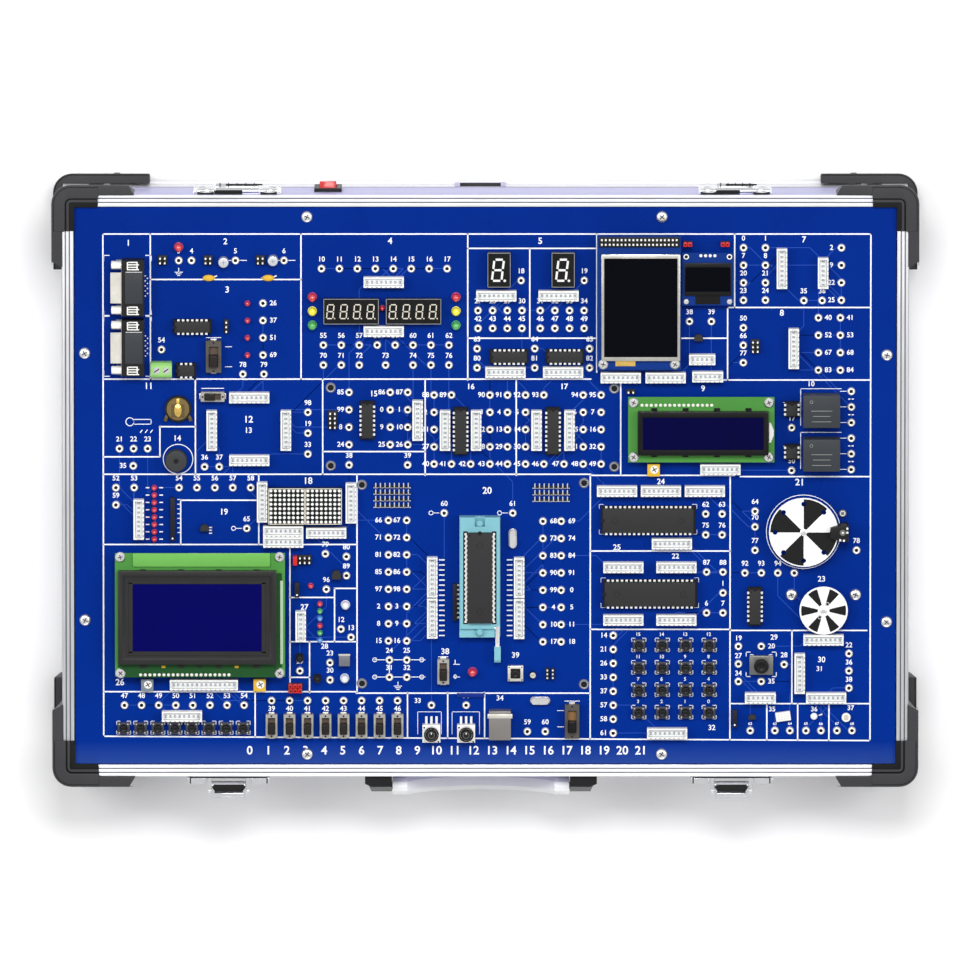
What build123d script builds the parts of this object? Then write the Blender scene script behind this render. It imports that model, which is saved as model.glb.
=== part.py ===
import os
from math import cos, hypot, radians, sin

from build123d import *

# A microcontroller trainer in a flat aluminium case, lid lifted off.
# All sizes are millimetres. +X runs along the hinge side, +Y points to the hinges, +Z is up.

# Case
rim_length = 463
rim_width = 320.5
base_height = 76
skirt_wall = 1.2
skirt_depth = 38
rim_flange = 1.5
rim_lip_depth = 8
groove_width = 0.6
groove_depth = 0.4
groove_spacing = 2.2
lower_skirt_height = 12
lower_flange_width = 22
corner_post_width = 14
wall_thickness = 4
panel_fit = 0.05
seat_gap = 0.05

# Corner guards
guard_stand = 5.5
guard_cap = 2
guard_corner_radius = 11
guard_leg = 44
guard_full_leg = 32
guard_cap_leg = 25
guard_tip = 1.5
guard_groove = 0.9
guard_depth = 24
guard_band = 7
lower_guard_depth = 20
rivet_radius = 2.2
rivet_height = 1

# Board and its fixings
board_recess = 2
board_thickness = 2
board_margin = 0.5
standoff_radius = 4
screw_radius = 1.5
screw_head_radius = 3.25
screw_head_height = 2.2
screw_length = 9
screw_hole_gap = 0.2
screw_thread_gap = 0.05

# Patch sockets and connectors
socket_radius = 2.25
socket_height = 2
eyelet_radius = 2.9
eyelet_height = 1.2
connector_width = 5.75
connector_height = 7
connector_wall = 0.9
connector_floor = 1.5
pin_pitch = 2.54

# Chips
narrow_chip_width = 6.4
wide_chip_width = 13.8
chip_end_margin = 0.6
chip_height = 3.4
chip_taper = 6
chip_socket_height = 4.2
chip_socket_rim = 1.4

# Keys
key_body = 6
key_body_height = 3.5
key_radius = 1.75
key_height = 3.2
key_travel = 0.25
key_side_gap = 0.15
key_engage = 1.4

# Slide switches
slide_body_height = 5.5
slide_wall_gap = 0.25
slide_engage = 2
slide_knob_height = 4.5

# Rotary controls
pot_body = 9.8
pot_body_height = 6.5
pot_bush_radius = 4.4
pot_bush_height = 4
pot_shaft_radius = 3.1
pot_shaft_height = 13
shaft_gap = 0.05

# Motors and their discs
dc_disc_radius = 19
dc_disc_thickness = 1.4
dc_disc_height = 9
dc_shaft_radius = 1
dc_can_radius = 12
dc_can_height = 31
step_disc_radius = 13.25
step_disc_thickness = 1.2
step_disc_height = 6
step_shaft_radius = 2.5
step_shaft_offset = 8
step_can_radius = 14
step_can_height = 19
step_ear_spacing = 35
disc_air_gap = 0.9

# Lever socket
zif_width = 22.3
zif_length = 66.4
zif_base_height = 7.5
zif_cover_height = 2.5
zif_pivot_height = 6.2
zif_pivot_inset = 5
lever_bar = 2.2
lever_reach = 14.5
lever_shaft_radius = 1.2

# Front latches and handle
latch_plate_width = 45
latch_plate_height = 30
latch_plate_thickness = 1.5
latch_width = 18.5
latch_pivot_stand = 6.5
latch_pivot_drop = 7
latch_pin_radius = 1.5
latch_ear_radius = 3.6
latch_ear_width = 2
latch_depth = 6
latch_length = 25
latch_wall = 1.5
latch_lip = 2
latch_plate_corner = 3
latch_plate_drop = 2
handle_span = 127
handle_bracket_width = 14.7
handle_pivot_stand = 7
handle_pivot_drop = 16
handle_pin_radius = 2
handle_sag = 24
handle_thickness = 10
handle_eye_width = 8
handle_bracket_depth = 11.9
handle_bracket_rise = 12
swing_gap = 0.4

# Back hinges
knuckle_radius = 3
hinge_bore_radius = 1.6
knuckle_stand = 3.6
knuckle_drop = 3
hinge_leaf_height = 25
hinge_leaf_thickness = 1.4

# Mains switch and inlet
rocker_width = 9.2
rocker_half_length = 7.6
rocker_end_height = 4.2
rocker_mid_height = 2.2
rocker_tilt = 12
rocker_root_depth = 5
rocker_root_half = 4.5
rocker_shoulder_depth = 1.5
rocker_shoulder_inset = 0.4
rocker_pivot_depth = 0.2
rocker_gap = 0.3
switch_bezel_width = 15
switch_bezel_height = 21
switch_bezel_thickness = 2
switch_sleeve_wall = 0.8
switch_depth = 16
switch_drop = 25
inlet_width = 28
inlet_height = 23
inlet_flange = 1.2
inlet_depth = 22
inlet_recess_depth = 16
inlet_rim = 2.5
inlet_pins = ((-7, -2), (7, -2), (0, 4.5))
inlet_pin_size = (2, 4)

# Heights that follow from the case
rim_top = guard_cap + base_height
board_top = rim_top - board_recess
board_bottom = board_top - board_thickness
rail_width = 2 * (skirt_wall + panel_fit) + wall_thickness
floor_bottom = guard_cap + skirt_wall
floor_top = floor_bottom + wall_thickness
panel_length = rim_length - 2 * (skirt_wall + panel_fit)
panel_width = rim_width - 2 * (skirt_wall + panel_fit)
lower_skirt_top = guard_cap + lower_skirt_height
skirt_bottom = rim_top - skirt_depth

# The case stands so that its whole depth, latches to hinges, is centred on the origin
front_reach = latch_pivot_stand + latch_depth
back_reach = knuckle_stand + knuckle_radius
case_y = (front_reach - back_reach) / 2
front_face = case_y - rim_width / 2
back_face = case_y + rim_width / 2

latch_places = (-140.5, 134.8)
hinge_leaves = ((-135.5, 48, 23.5), (136.5, 40, 20))
handle_place = -2.4
switch_place = -86
inlet_place = -2.7
inlet_drop = skirt_depth + (base_height - skirt_depth - lower_skirt_height) / 2

# Round parts are polygons with these numbers of sides
stud_sides = 8
shaft_sides = 12
disc_sides = 36
corner_steps = 4

# Screws that hold the board: x and y on the board
board_screws = (
    (-97.5, 148),
    (96.5, 148),
    (-97.5, -148),
    (96.5, -148),
    (-219, 73),
    (-219, -74),
    (219.5, 72),
    (219.5, -75),
)

# Patch sockets by circuit: x and y of the first, columns, rows, step along x, step down y
socket_grids = {
    "power": ((-167.5, 124, 2, 1, 7, 0), (-136.5, 124, 1, 1, 0, 0), (-110, 124, 1, 1, 0, 0)),
    "serial port": ((-121.5, 100.5, 1, 4, 0, 9.5), (-177, 75, 1, 1, 0, 0), (-132.5, 61.5, 2, 1, 11.5, 0)),
    "eight lights": (
        (-89.5, 119.5, 8, 1, 9.8, 0),
        (-88.5, 77.5, 8, 1, 9.8, 0),
        (-88.5, 66.5, 3, 1, 9.8, 0),
        (-54.5, 66.5, 1, 1, 0, 0),
        (-39.5, 66.5, 3, 1, 9.8, 0),
    ),
    "digits": (
        (19.5, 113, 2, 1, 34.5, 0),
        (-4, 96.5, 4, 2, 8, 9.8),
        (30, 96.5, 4, 2, 8, 9.8),
        (-4.5, 75.5, 1, 2, 0, 10.5),
        (27, 75.5, 1, 2, 0, 10.5),
        (57, 75.5, 1, 2, 0, 10.5),
    ),
    "small screen": ((111.5, 90.5, 2, 1, 12, 0),),
    "parallel to serial": ((141, 131, 2, 4, 12, 9.6), (194.5, 131, 1, 4, 0, 9.6), (174, 102, 2, 1, 10, 0)),
    "serial to parallel": ((141, 87, 1, 3, 0, 9.6), (182, 92.5, 2, 4, 12, 9.6)),
    "clock": ((-200, 20.5, 3, 1, 7.7, 0), (-192.5, 11, 1, 1, 0, 0)),
    "zone": ((-97, 40.5, 1, 3, 0, 11.5), (-153.5, 10.5, 2, 1, 8, 0)),
    "decoder": (
        (-74.5, 51.5, 1, 4, 0, 9.6),
        (-52, 51.5, 2, 4, 9.6, 9.6),
        (-74.5, 11.5, 2, 1, 32, 0),
    ),
    "first latch": (
        (-28, 50, 1, 5, 0, 9.5),
        (-18.5, 50, 1, 2, 0, 38),
        (-8, 12, 1, 1, 0, 0),
        (2.5, 50, 2, 5, 9.6, 9.5),
    ),
    "second latch": (
        (22, 50, 1, 5, 0, 9.5),
        (32, 50, 1, 2, 0, 38),
        (43, 12, 1, 1, 0, 0),
        (53.5, 50, 2, 5, 9.8, 9.5),
    ),
    "relays": ((200, 52, 1, 6, 0, 8.6), (167.5, 32, 1, 2, 0, 23.5)),
    "lights": ((-202, -1, 2, 1, 10, 0), (-167.5, -1, 5, 1, 9.8, 0), (-202, -10.5, 1, 1, 0, 0)),
    "temperature": ((-130.5, -23.5, 1, 1, 0, 0),),
    "converters": ((-87.5, -37.5, 1, 1, 0, 0), (-76, -39, 1, 2, 0, 10.5), (-87, -57, 1, 1, 0, 0)),
    "two colour light": ((-79, -79, 1, 1, 0, 0), (-73.5, -83.5, 1, 1, 0, 0)),
    "infrared": ((-85, -97.5, 1, 2, 0, 9.5), (-101.5, -102, 1, 1, 0, 0)),
    "processor": (
        (-53, -19, 2, 8, 10, 9.5),
        (-52.5, -96, 2, 2, 9.5, 9.5),
        (-22.5, -15, 2, 1, 37.5, 0),
        (31.5, -19.5, 2, 8, 10, 9.5),
    ),
    "port expander": ((120.5, -15.5, 2, 2, 9, 11.5),),
    "second expander": ((121, -47.5, 2, 1, 9, 0), (130, -59, 1, 1, 0, 0), (121, -70, 2, 1, 9, 0)),
    "motors": (
        (147.5, -14, 1, 2, 0, 8.6),
        (147.5, -35.5, 1, 1, 0, 0),
        (142, -48, 4, 1, 9, 0),
        (203, -35.5, 1, 1, 0, 0),
    ),
    "joystick": ((138.5, -88.5, 1, 3, 0, 9.7), (151, -88.5, 1, 2, 0, 19.4), (163.5, -98.5, 1, 1, 0, 0)),
    "memory": ((199, -92.5, 1, 3, 0, 9.5),),
    "sensors": (
        (145, -135, 1, 1, 0, 0),
        (158.5, -135, 2, 1, 8.2, 0),
        (175.5, -135, 2, 1, 8.2, 0),
        (192.5, -135, 2, 1, 8.2, 0),
    ),
    "key matrix": ((70, -82.5, 1, 8, 0, 7.7),),
    "push keys": ((-197.5, -121, 8, 1, 9.35, 0),),
    "slide keys": ((-117, -118.5, 8, 1, 9.85, 0),),
    "pulses": ((-29.5, -121, 2, 1, 19, 0), (23, -135.5, 2, 1, 9.8, 0)),
}

eyelets = (
    (-84.5, 54),
    (-84.5, 11),
    (70.5, 53.5),
    (70.5, 10.5),
    (-67.5, 0.5),
    (54, 1.5),
    (-67.5, -109),
    (54, -109.5),
)

# Pin connectors that lie along X: x, y, pins
flat_connectors = (
    (-55.5, 112.5, 8),
    (-55.5, 85.5, 8),
    (6, 105, 8),
    (40, 105, 8),
    (11, 63, 8),
    (42.5, 63, 8),
    (74, 60, 8),
    (98.5, 60, 8),
    (121.5, 60.5, 6),
    (118.5, 70, 5),
    (-129, 49, 8),
    (-129, 14.5, 8),
    (-110.5, -24.5, 8),
    (-110.5, -30.5, 8),
    (-87, -25.5, 8),
    (72, -2.5, 8),
    (96, -2.5, 8),
    (120, -2.5, 8),
    (128.5, 9.5, 8),
    (102, -31.5, 8),
    (75.5, -44.5, 8),
    (104.5, -44.5, 8),
    (75.5, -73.5, 8),
    (104.5, -73.5, 8),
    (99.5, -136, 8),
    (150.5, -116.5, 6),
    (185, -84.5, 8),
    (186.5, -116.5, 8),
    (-154, -109.2, 14),
    (-166, -126.6, 8),
)

# Pin connectors that lie along Y
upright_connectors = (
    (162, 120, 8),
    (184.5, 117.5, 6),
    (168.5, 76, 8),
    (-149.5, 31, 8),
    (-109, 31, 8),
    (-37, 36.5, 8),
    (-22, 31, 8),
    (-5, 31, 8),
    (28, 31, 8),
    (46, 31, 8),
    (-189.5, -18, 8),
    (-122, -8.5, 8),
    (-73.5, -9, 8),
    (-29, -49.8, 8),
    (-29, -72.5, 8),
    (18.5, -50, 8),
    (18.5, -72.7, 8),
    (172, -103, 8),
    (-101, -77, 6),
)
connector_end = 2.1

# Chips: x, y, pins, body width, whether the long side runs along Y
chips = (
    (-160, 88, 16, narrow_chip_width, False),
    (-163.5, 64, 8, narrow_chip_width, False),
    (13, 71.5, 16, narrow_chip_width, False),
    (43.5, 71.5, 16, narrow_chip_width, False),
    (-64.5, 36.5, 16, narrow_chip_width, True),
    (-13.5, 30.5, 20, narrow_chip_width, True),
    (37, 30.5, 20, narrow_chip_width, True),
    (89, -18.5, 40, wide_chip_width, False),
    (90, -59, 40, wide_chip_width, False),
    (147.5, -66, 16, narrow_chip_width, True),
    (167.5, 42.5, 6, narrow_chip_width, True),
    (167.5, 19, 6, narrow_chip_width, True),
)
zif_place = (-3, -49.5)

# Resistor packs: x, y, length, whether the long side runs along Y
resistor_packs = (
    (-171, -18, 23.8, True),
    (-8, -115.5, 15, False),
    (-103, -57, 12, True),
    (136.5, -128, 18.3, True),
)
pack_thickness = 2.4
pack_height = 5

# Screens: x, y, length, width, lift of the board, bezel length and width, bezel height, bezel shift in y
screens = {
    "graphic": (-156, -70, 93, 70, 8.5, 86.5, 51.5, 5.5, -2),
    "character": (118, 31.8, 80, 36, 7, 71.5, 24, 6, -1.5),
    "colour": (84, 101.5, 46, 74, 7, 43, 58.5, 3, -1.5),
    "small": (121.5, 114.5, 28, 29, 6, 25.5, 18, 1.6, 0),
}
screen_board = 1.6
screen_post = 4
screen_post_inset = 4.5
screen_margin = 5.5
screen_window_depth = 0.8

# Digit and dot displays: x, y, length, width, height
display_blocks = (
    (-73.3, 96.6, 30.2, 14, 7),
    (-39.2, 96.6, 30.2, 14, 7),
    (7.5, 119.5, 12.6, 19, 8),
    (42.5, 119.5, 12.6, 19, 8),
    (-108.6, -10.5, 20, 20, 8),
    (-88.4, -10.5, 20, 20, 8),
)

# Keys
matrix_key_place = (84, -87.8)
matrix_key_step = (12.85, 12.35)
push_key_place = (-198, -133.5)
push_key_step = 9.35
reset_place = (16.5, -103)
reset_body = 8.5
reset_body_height = 5
slide_key_place = (-117, -132)
slide_key_step = 9.85

# Slide switches: x, y, body width, body length, knob width, knob length, travel, turned along X
slide_kinds = {
    "cpu_power_slide": (-23, -102, 6.5, 13.8, 3.5, 6, 3, False),
    "mode_slide": (-148.5, 71.5, 8.6, 17.5, 4.5, 6.5, 4, False),
    "zone_slide": (-149, 49.5, 5.4, 13.1, 3.2, 5.5, 3, True),
    "usb_slide": (47.5, -129.5, 8, 18.7, 4, 6.5, 5, False),
}
slide_key_size = (6.5, 13.1, 3.5, 6, 2.5)
pot_places = ((-29.5, -136), (-10.5, -136))
joystick_place = (151, -98.5)
joystick_base = (13, 10.5, 4.5)
joystick_cap_radius = 4
joystick_cap_height = 3.5
joystick_stem_radius = 1.6
joystick_lift = 2.2
joystick_gap = 0.9

dc_motor_place = (174, -24.5)
step_motor_place = (185, -68)
sensor_place = (193.5, -24.5)
sensor_size = (10, 13, 15)

# Lamps in columns: x, y of the first, step down y, how many
large_lamps = (
    (-167.5, 131.5, 0, 1),
    (-7, -102.5, 0, 1),
    (-94.5, 104, 7.75, 3),
    (-16, 104, 7.75, 3),
    (-76.5, -65.5, 0, 1),
    (-92, -106, 0, 1),
    (-77, -106, 0, 1),
    (-101.5, -94.5, 0, 1),
)
small_lamps = (
    (-56.3, 98, 0, 1),
    (-130, 100.5, 9.5, 4),
    (-181, -1, 4.05, 8),
    (-95.5, -55, 0, 1),
    (-90.5, -65, 4, 6),
)
large_lamp_radius = 2.5
large_lamp_height = 7.5
small_lamp_radius = 1.5
small_lamp_height = 5

# Square-cornered parts: x, y, length, width, height
board_blocks = {
    "relays": ((182.5, 45, 15.3, 19, 15.3), (182.5, 21, 15.3, 19, 15.3)),
    "trimmers": ((-123.5, -109.5, 6.8, 6.8, 5), (92, 9, 6.8, 6.8, 5), (-185, -109.5, 6.8, 6.8, 5)),
    "jumper blocks": ((-51, -5, 20.3, 14, 8.5), (36, -3.5, 20.3, 10, 8.5)),
    "pin strips": (
        (-178, 131.5, 5, 5, 8),
        (-152, 131.5, 5, 2.5, 8),
        (-141.5, 88, 2.5, 7.5, 8),
        (79.5, 52, 5, 2.5, 8),
    ),
    "jumpers": ((110.5, 133.5, 5, 2.5, 8.5), (131, 133.5, 5, 2.5, 8.5), (-104, -111, 8, 5, 8.5)),
    "header boxes": (
        (-83.5, 36.5, 5, 11, 8),
        (147.5, 77, 5, 7.5, 8),
        (-103, -40.5, 8, 5, 8),
        (-81.5, -48.5, 5, 5, 6),
    ),
    "crystals": ((15, -29, 4.5, 11, 4), (30, -118.5, 11, 4.5, 4)),
    "sensors": (
        (-153.5, -26, 4.8, 3.8, 5),
        (146, -127, 4.2, 3, 4),
        (163, -127, 11, 8, 3),
        (197.5, -127, 4.5, 4, 3),
    ),
    "receiver": ((-73.5, -93, 6, 6, 7), (26, -104, 3, 3, 2.5), (36, -104, 3, 3, 2.5)),
    "transistors": ((116.5, 82, 4.8, 3.8, 5), (197, -13, 4.8, 3.8, 5)),
}

# Round parts: x, y, radius, height
board_rounds = (
    (-143, 123.5, 3.2, 7.5),
    (-118, 129, 3.2, 7.5),
    (-151.5, 114.5, 2.5, 3),
    (-121, 114.5, 2.5, 3),
    (-168, 42.5, 7.7, 3.2),
    (-169, 14.5, 6, 9.5),
    (179.5, -127, 2.5, 3),
)
db9_places = ((-195.5, 110), (-195.5, 77))
db9_body = (12.4, 30.8, 12.4)
db9_shell = (17, 8.6, 6)
terminal_place = (-177, 64.5)
terminal_size = (11.6, 8.5, 10)
usb_place = (8, -131)
usb_size = (12, 16, 11)
usb_mouth = (8.5, 7.8, 9)
usb_tongue = (5.6, 3.2)

# Power supply under the board
supply_place = (-60, 60)
supply_size = (110, 78)
supply_height = 36


def deck(height):
    return Plane((0, case_y, height))


def on_board(lift=0.0):
    return deck(board_top + lift)


def back_plane(x, y, z):
    return Plane((x, y, z), x_dir=(-1, 0, 0), z_dir=(0, 1, 0))


def front_plane(x, y, z):
    return Plane((x, y, z), x_dir=(1, 0, 0), z_dir=(0, -1, 0))


def side_plane(x, y, z, outward=1):
    # A plane across X whose own x runs towards the back, or towards the front where outward is -1
    return Plane((x, y, z), x_dir=(0, outward, 0), z_dir=(outward, 0, 0))


def write(name, piece):
    piece.label = name
    export_step(piece, f"parts/{name}.step")


def grid_points(grids):
    points = []
    for x, y, columns, rows, step_x, step_y in grids:
        for column in range(columns):
            for row in range(rows):
                points.append((x + column * step_x, y - row * step_y))
    return points


def rail_profile():
    grooves = (rail_width / 2 - groove_spacing / 2, rail_width / 2 + groove_spacing / 2)
    points = [(0, -skirt_depth), (0, -groove_width), (groove_width, 0)]
    for middle in grooves:
        points.append((middle - groove_width / 2, 0))
        points.append((middle - groove_width / 2, -groove_depth))
        points.append((middle + groove_width / 2, -groove_depth))
        points.append((middle + groove_width / 2, 0))
    points += [
        (rail_width, 0),
        (rail_width, -rim_lip_depth),
        (rail_width - skirt_wall, -rim_lip_depth),
        (rail_width - skirt_wall, -rim_flange),
        (skirt_wall, -rim_flange),
        (skirt_wall, -skirt_depth),
    ]
    return points


def lower_profile():
    return [
        (0, 0),
        (lower_flange_width, 0),
        (lower_flange_width, skirt_wall),
        (skirt_wall, skirt_wall),
        (skirt_wall, lower_skirt_height),
        (0, lower_skirt_height),
    ]


def mitred_rail(points, length, half_width, height, direction):
    # The profile runs along the side that faces direction, and both ends are cut at 45 degrees
    across = Vector(direction)
    along = Vector(0, 0, 1).cross(across)
    middle = Vector(0, case_y, height) + across * half_width
    start = middle - along * (length / 2)
    with BuildPart() as rail:
        with BuildSketch(Plane(start, x_dir=-across, z_dir=along)):
            with BuildLine():
                Polyline(*points, close=True)
            make_face()
        extrude(amount=length)
        for end in (-1, 1):
            corner = middle + along * (end * (length / 2 - seat_gap))
            split(bisect_by=Plane(corner, z_dir=along * end - across), keep=Keep.BOTTOM)
    return rail.part


def case_rails():
    sides = (
        (rim_length, rim_width / 2, (0, 1, 0)),
        (rim_length, rim_width / 2, (0, -1, 0)),
        (rim_width, rim_length / 2, (1, 0, 0)),
        (rim_width, rim_length / 2, (-1, 0, 0)),
    )
    with BuildPart() as rails:
        for length, half_width, direction in sides:
            add(mitred_rail(rail_profile(), length, half_width, rim_top, direction))
            add(mitred_rail(lower_profile(), length, half_width, guard_cap, direction))
        corner = (panel_length / 2 + skirt_wall, panel_width / 2 + skirt_wall)
        with BuildSketch(deck(lower_skirt_top + seat_gap)):
            for side_x in (-1, 1):
                for side_y in (-1, 1):
                    with Locations((side_x * corner[0], side_y * corner[1])):
                        Rectangle(2 * corner_post_width, 2 * corner_post_width)
            Rectangle(2 * corner[0], 2 * corner[1], mode=Mode.INTERSECT)
            Rectangle(panel_length, panel_width, mode=Mode.SUBTRACT)
        extrude(amount=skirt_bottom - lower_skirt_top - 2 * seat_gap)
        with Locations(back_plane(switch_place, back_face, rim_top - switch_drop)):
            Box(*switch_opening(), 4 * skirt_wall, mode=Mode.SUBTRACT)
    write("case_rails", rails.part)


def rocker_opening():
    # The well that the rocker swings in, X then Z
    swing = hypot(rocker_end_height, rocker_half_length)
    return (rocker_width + 2 * rocker_gap, 2 * (swing + rocker_gap))


def switch_opening():
    # The hole in the back wall that the switch sleeve passes
    sleeve = 2 * switch_sleeve_wall + 2 * panel_fit
    width, height = rocker_opening()
    return (width + sleeve, height + sleeve)


def inlet_opening():
    return (inlet_width - inlet_rim + 2 * panel_fit, inlet_height - inlet_rim + 2 * panel_fit)


def case_panels():
    wall_bottom = floor_top + seat_gap
    wall_height = rim_top - rim_flange - wall_bottom
    end_width = panel_width - 2 * (wall_thickness + seat_gap)
    with BuildPart() as panels:
        with BuildSketch(deck(floor_bottom)):
            Rectangle(panel_length, panel_width)
        extrude(amount=wall_thickness)
        with BuildSketch(deck(wall_bottom)):
            with GridLocations(0, panel_width - wall_thickness, 1, 2):
                Rectangle(panel_length, wall_thickness)
            with GridLocations(panel_length - wall_thickness, 0, 2, 1):
                Rectangle(wall_thickness, end_width)
        extrude(amount=wall_height)
        with Locations(back_plane(switch_place, back_face, rim_top - switch_drop)):
            Box(*switch_opening(), 4 * wall_thickness, mode=Mode.SUBTRACT)
        with Locations(back_plane(inlet_place, back_face, rim_top - inlet_drop)):
            Box(*inlet_opening(), 4 * wall_thickness, mode=Mode.SUBTRACT)
    write("case_panels", panels.part)


def guard_corner(stand):
    # The rounded outer corner of a guard that stands this far out, in a few straight steps
    radius = guard_corner_radius + stand - guard_stand
    middle = stand - radius
    turns = [radians(90) * step / corner_steps for step in range(corner_steps + 1)]
    return [(middle + radius * sin(turn), middle + radius * cos(turn)) for turn in turns]


def guard_outline(stand):
    # Plan of a guard's skirt about the rim's corner, with both legs tapering to a thin tip
    return [
        (0, 0),
        (-guard_leg, 0),
        (-guard_leg, guard_tip),
        (-guard_full_leg, stand),
        *guard_corner(stand),
        (stand, -guard_full_leg),
        (guard_tip, -guard_leg),
        (0, -guard_leg),
    ]


def corner_guard(corner, height, depth):
    # The cap lies on the rim and the skirt hangs from it, with a recessed band between
    cap_points = [
        (-guard_cap_leg, -rail_width),
        (-guard_full_leg, guard_stand),
        *guard_corner(guard_stand),
        (guard_stand, -guard_full_leg),
        (-rail_width, -guard_cap_leg),
        (-rail_width, -rail_width),
    ]
    layers = (
        (0, guard_cap, cap_points),
        (-guard_band, guard_band, guard_outline(guard_stand)),
        (-2 * guard_band, guard_band, guard_outline(guard_stand - guard_groove)),
        (-depth, depth - 2 * guard_band, guard_outline(guard_stand)),
    )
    tip = (corner[0] + guard_stand, corner[1] + guard_stand, height + guard_cap)
    with BuildPart() as guard:
        for bottom, thickness, points in layers:
            with BuildSketch(Plane((*corner, height + bottom))):
                with BuildLine():
                    Polyline(*points, close=True)
                make_face()
            extrude(amount=thickness)
        top_edges = guard.faces().sort_by(Axis.Z)[-1].edges()
        chamfer(top_edges.sort_by_distance(tip)[:corner_steps], guard_cap / 2)
        for direction in ((1, 0), (0, 1)):
            along = -guard_full_leg * 0.6
            foot = (corner[0] + direction[0] * guard_stand + direction[1] * along,
                    corner[1] + direction[1] * guard_stand + direction[0] * along,
                    height - (depth + 2 * guard_band) / 2)
            with BuildSketch(Plane(foot, z_dir=(*direction, 0))):
                RegularPolygon(rivet_radius, 8)
            extrude(amount=rivet_height)
    return guard.part


def corner_guards():
    corner = (rim_length / 2, case_y + rim_width / 2)
    upper = corner_guard(corner, rim_top, guard_depth)
    middle = Plane.XY.offset((rim_top + guard_cap) / 2)
    lower = mirror(corner_guard(corner, rim_top, lower_guard_depth), about=middle)
    with BuildPart() as guards:
        add(upper)
        add(lower)
        mirror(about=Plane.YZ)
        mirror(about=Plane((0, case_y, 0), z_dir=(0, 1, 0)))
    write("corner_guards", guards.part)


def circuit_board():
    length = rim_length - 2 * rail_width - 2 * board_margin
    width = rim_width - 2 * rail_width - 2 * board_margin
    with BuildPart() as board:
        with BuildSketch(deck(board_bottom)):
            Rectangle(length, width)
            with Locations(*board_screws):
                RegularPolygon(screw_radius + screw_hole_gap, stud_sides, mode=Mode.SUBTRACT)
            with Locations(dc_motor_place):
                RegularPolygon(2 * dc_shaft_radius, shaft_sides, mode=Mode.SUBTRACT)
            with Locations(step_motor_place):
                RegularPolygon(step_shaft_radius + disc_air_gap, shaft_sides, mode=Mode.SUBTRACT)
        extrude(amount=board_thickness)
    write("circuit_board", board.part)


def patch_sockets():
    with BuildPart() as sockets:
        with BuildSketch(on_board()):
            for grids in socket_grids.values():
                with Locations(*grid_points(grids)):
                    RegularPolygon(socket_radius, 6)
        extrude(amount=socket_height)
        with BuildSketch(on_board()):
            with Locations(*eyelets):
                RegularPolygon(eyelet_radius, stud_sides)
        extrude(amount=eyelet_height)
    write("patch_sockets", sockets.part)


def connector_outlines(shrink):
    # Each shell is as long as its pins need, with an equal end past the outer pins
    for x, y, pins in flat_connectors:
        with Locations((x, y)):
            Rectangle((pins - 1) * pin_pitch + 2 * connector_end - 2 * shrink, connector_width - 2 * shrink)
    for x, y, pins in upright_connectors:
        with Locations((x, y)):
            Rectangle(connector_width - 2 * shrink, (pins - 1) * pin_pitch + 2 * connector_end - 2 * shrink)


def pin_connectors():
    with BuildPart() as connectors:
        with BuildSketch(on_board()):
            connector_outlines(0)
        extrude(amount=connector_height)
        with BuildSketch(on_board(connector_floor)):
            connector_outlines(connector_wall)
        extrude(amount=connector_height, mode=Mode.SUBTRACT)
    write("pin_connectors", connectors.part)


def chip_size(pins, width, upright):
    length = pins / 2 * pin_pitch - chip_end_margin
    return (width, length) if upright else (length, width)


def chip_packages():
    zif_top = zif_base_height + zif_cover_height
    with BuildPart() as packages:
        with BuildSketch(on_board()):
            for x, y, pins, width, upright in chips:
                length, depth = chip_size(pins, width, upright)
                with Locations((x, y)):
                    Rectangle(length + chip_socket_rim, depth + chip_socket_rim)
        extrude(amount=chip_socket_height - seat_gap)
        with BuildSketch(on_board(chip_socket_height)):
            for x, y, pins, width, upright in chips:
                with Locations((x, y)):
                    Rectangle(*chip_size(pins, width, upright))
        extrude(amount=chip_height, taper=chip_taper)
        with BuildSketch(on_board(zif_top + seat_gap)):
            with Locations(zif_place):
                Rectangle(*chip_size(40, wide_chip_width, True))
        extrude(amount=chip_height, taper=chip_taper)
        with BuildSketch(on_board()):
            for x, y, length, upright in resistor_packs:
                size = (pack_thickness, length) if upright else (length, pack_thickness)
                with Locations((x, y)):
                    Rectangle(*size)
        extrude(amount=pack_height)
    write("chip_packages", packages.part)


def screen_module(x, y, length, width, lift, bezel_length, bezel_width, bezel_height, bezel_shift):
    # Posts carry a small board, and the bezel on it has a sunk window
    bezel_y = y + bezel_shift
    bezel_bottom = lift + screen_board
    with BuildPart() as module:
        with BuildSketch(on_board()):
            with Locations((x, y)):
                with GridLocations(length - 2 * screen_post_inset, width - 2 * screen_post_inset, 2, 2):
                    Rectangle(screen_post, screen_post)
        extrude(amount=lift - seat_gap)
        with BuildSketch(on_board(lift)):
            with Locations((x, y)):
                Rectangle(length, width)
        extrude(amount=screen_board - seat_gap)
        with BuildSketch(on_board(bezel_bottom)):
            with Locations((x, bezel_y)):
                Rectangle(bezel_length, bezel_width)
        extrude(amount=bezel_height)
        with BuildSketch(on_board(bezel_bottom + bezel_height - screen_window_depth)):
            with Locations((x, bezel_y)):
                Rectangle(bezel_length - screen_margin, bezel_width - screen_margin)
        extrude(amount=screen_window_depth, mode=Mode.SUBTRACT)
    return module.part


def display_modules():
    with BuildPart() as displays:
        for screen in screens.values():
            add(screen_module(*screen))
        for x, y, length, width, height in display_blocks:
            with BuildSketch(on_board()):
                with Locations((x, y)):
                    Rectangle(length, width)
            extrude(amount=height)
    write("display_modules", displays.part)


def matrix_key_points():
    return [
        (matrix_key_place[0] + column * matrix_key_step[0], matrix_key_place[1] - row * matrix_key_step[1])
        for row in range(4)
        for column in range(4)
    ]


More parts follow.
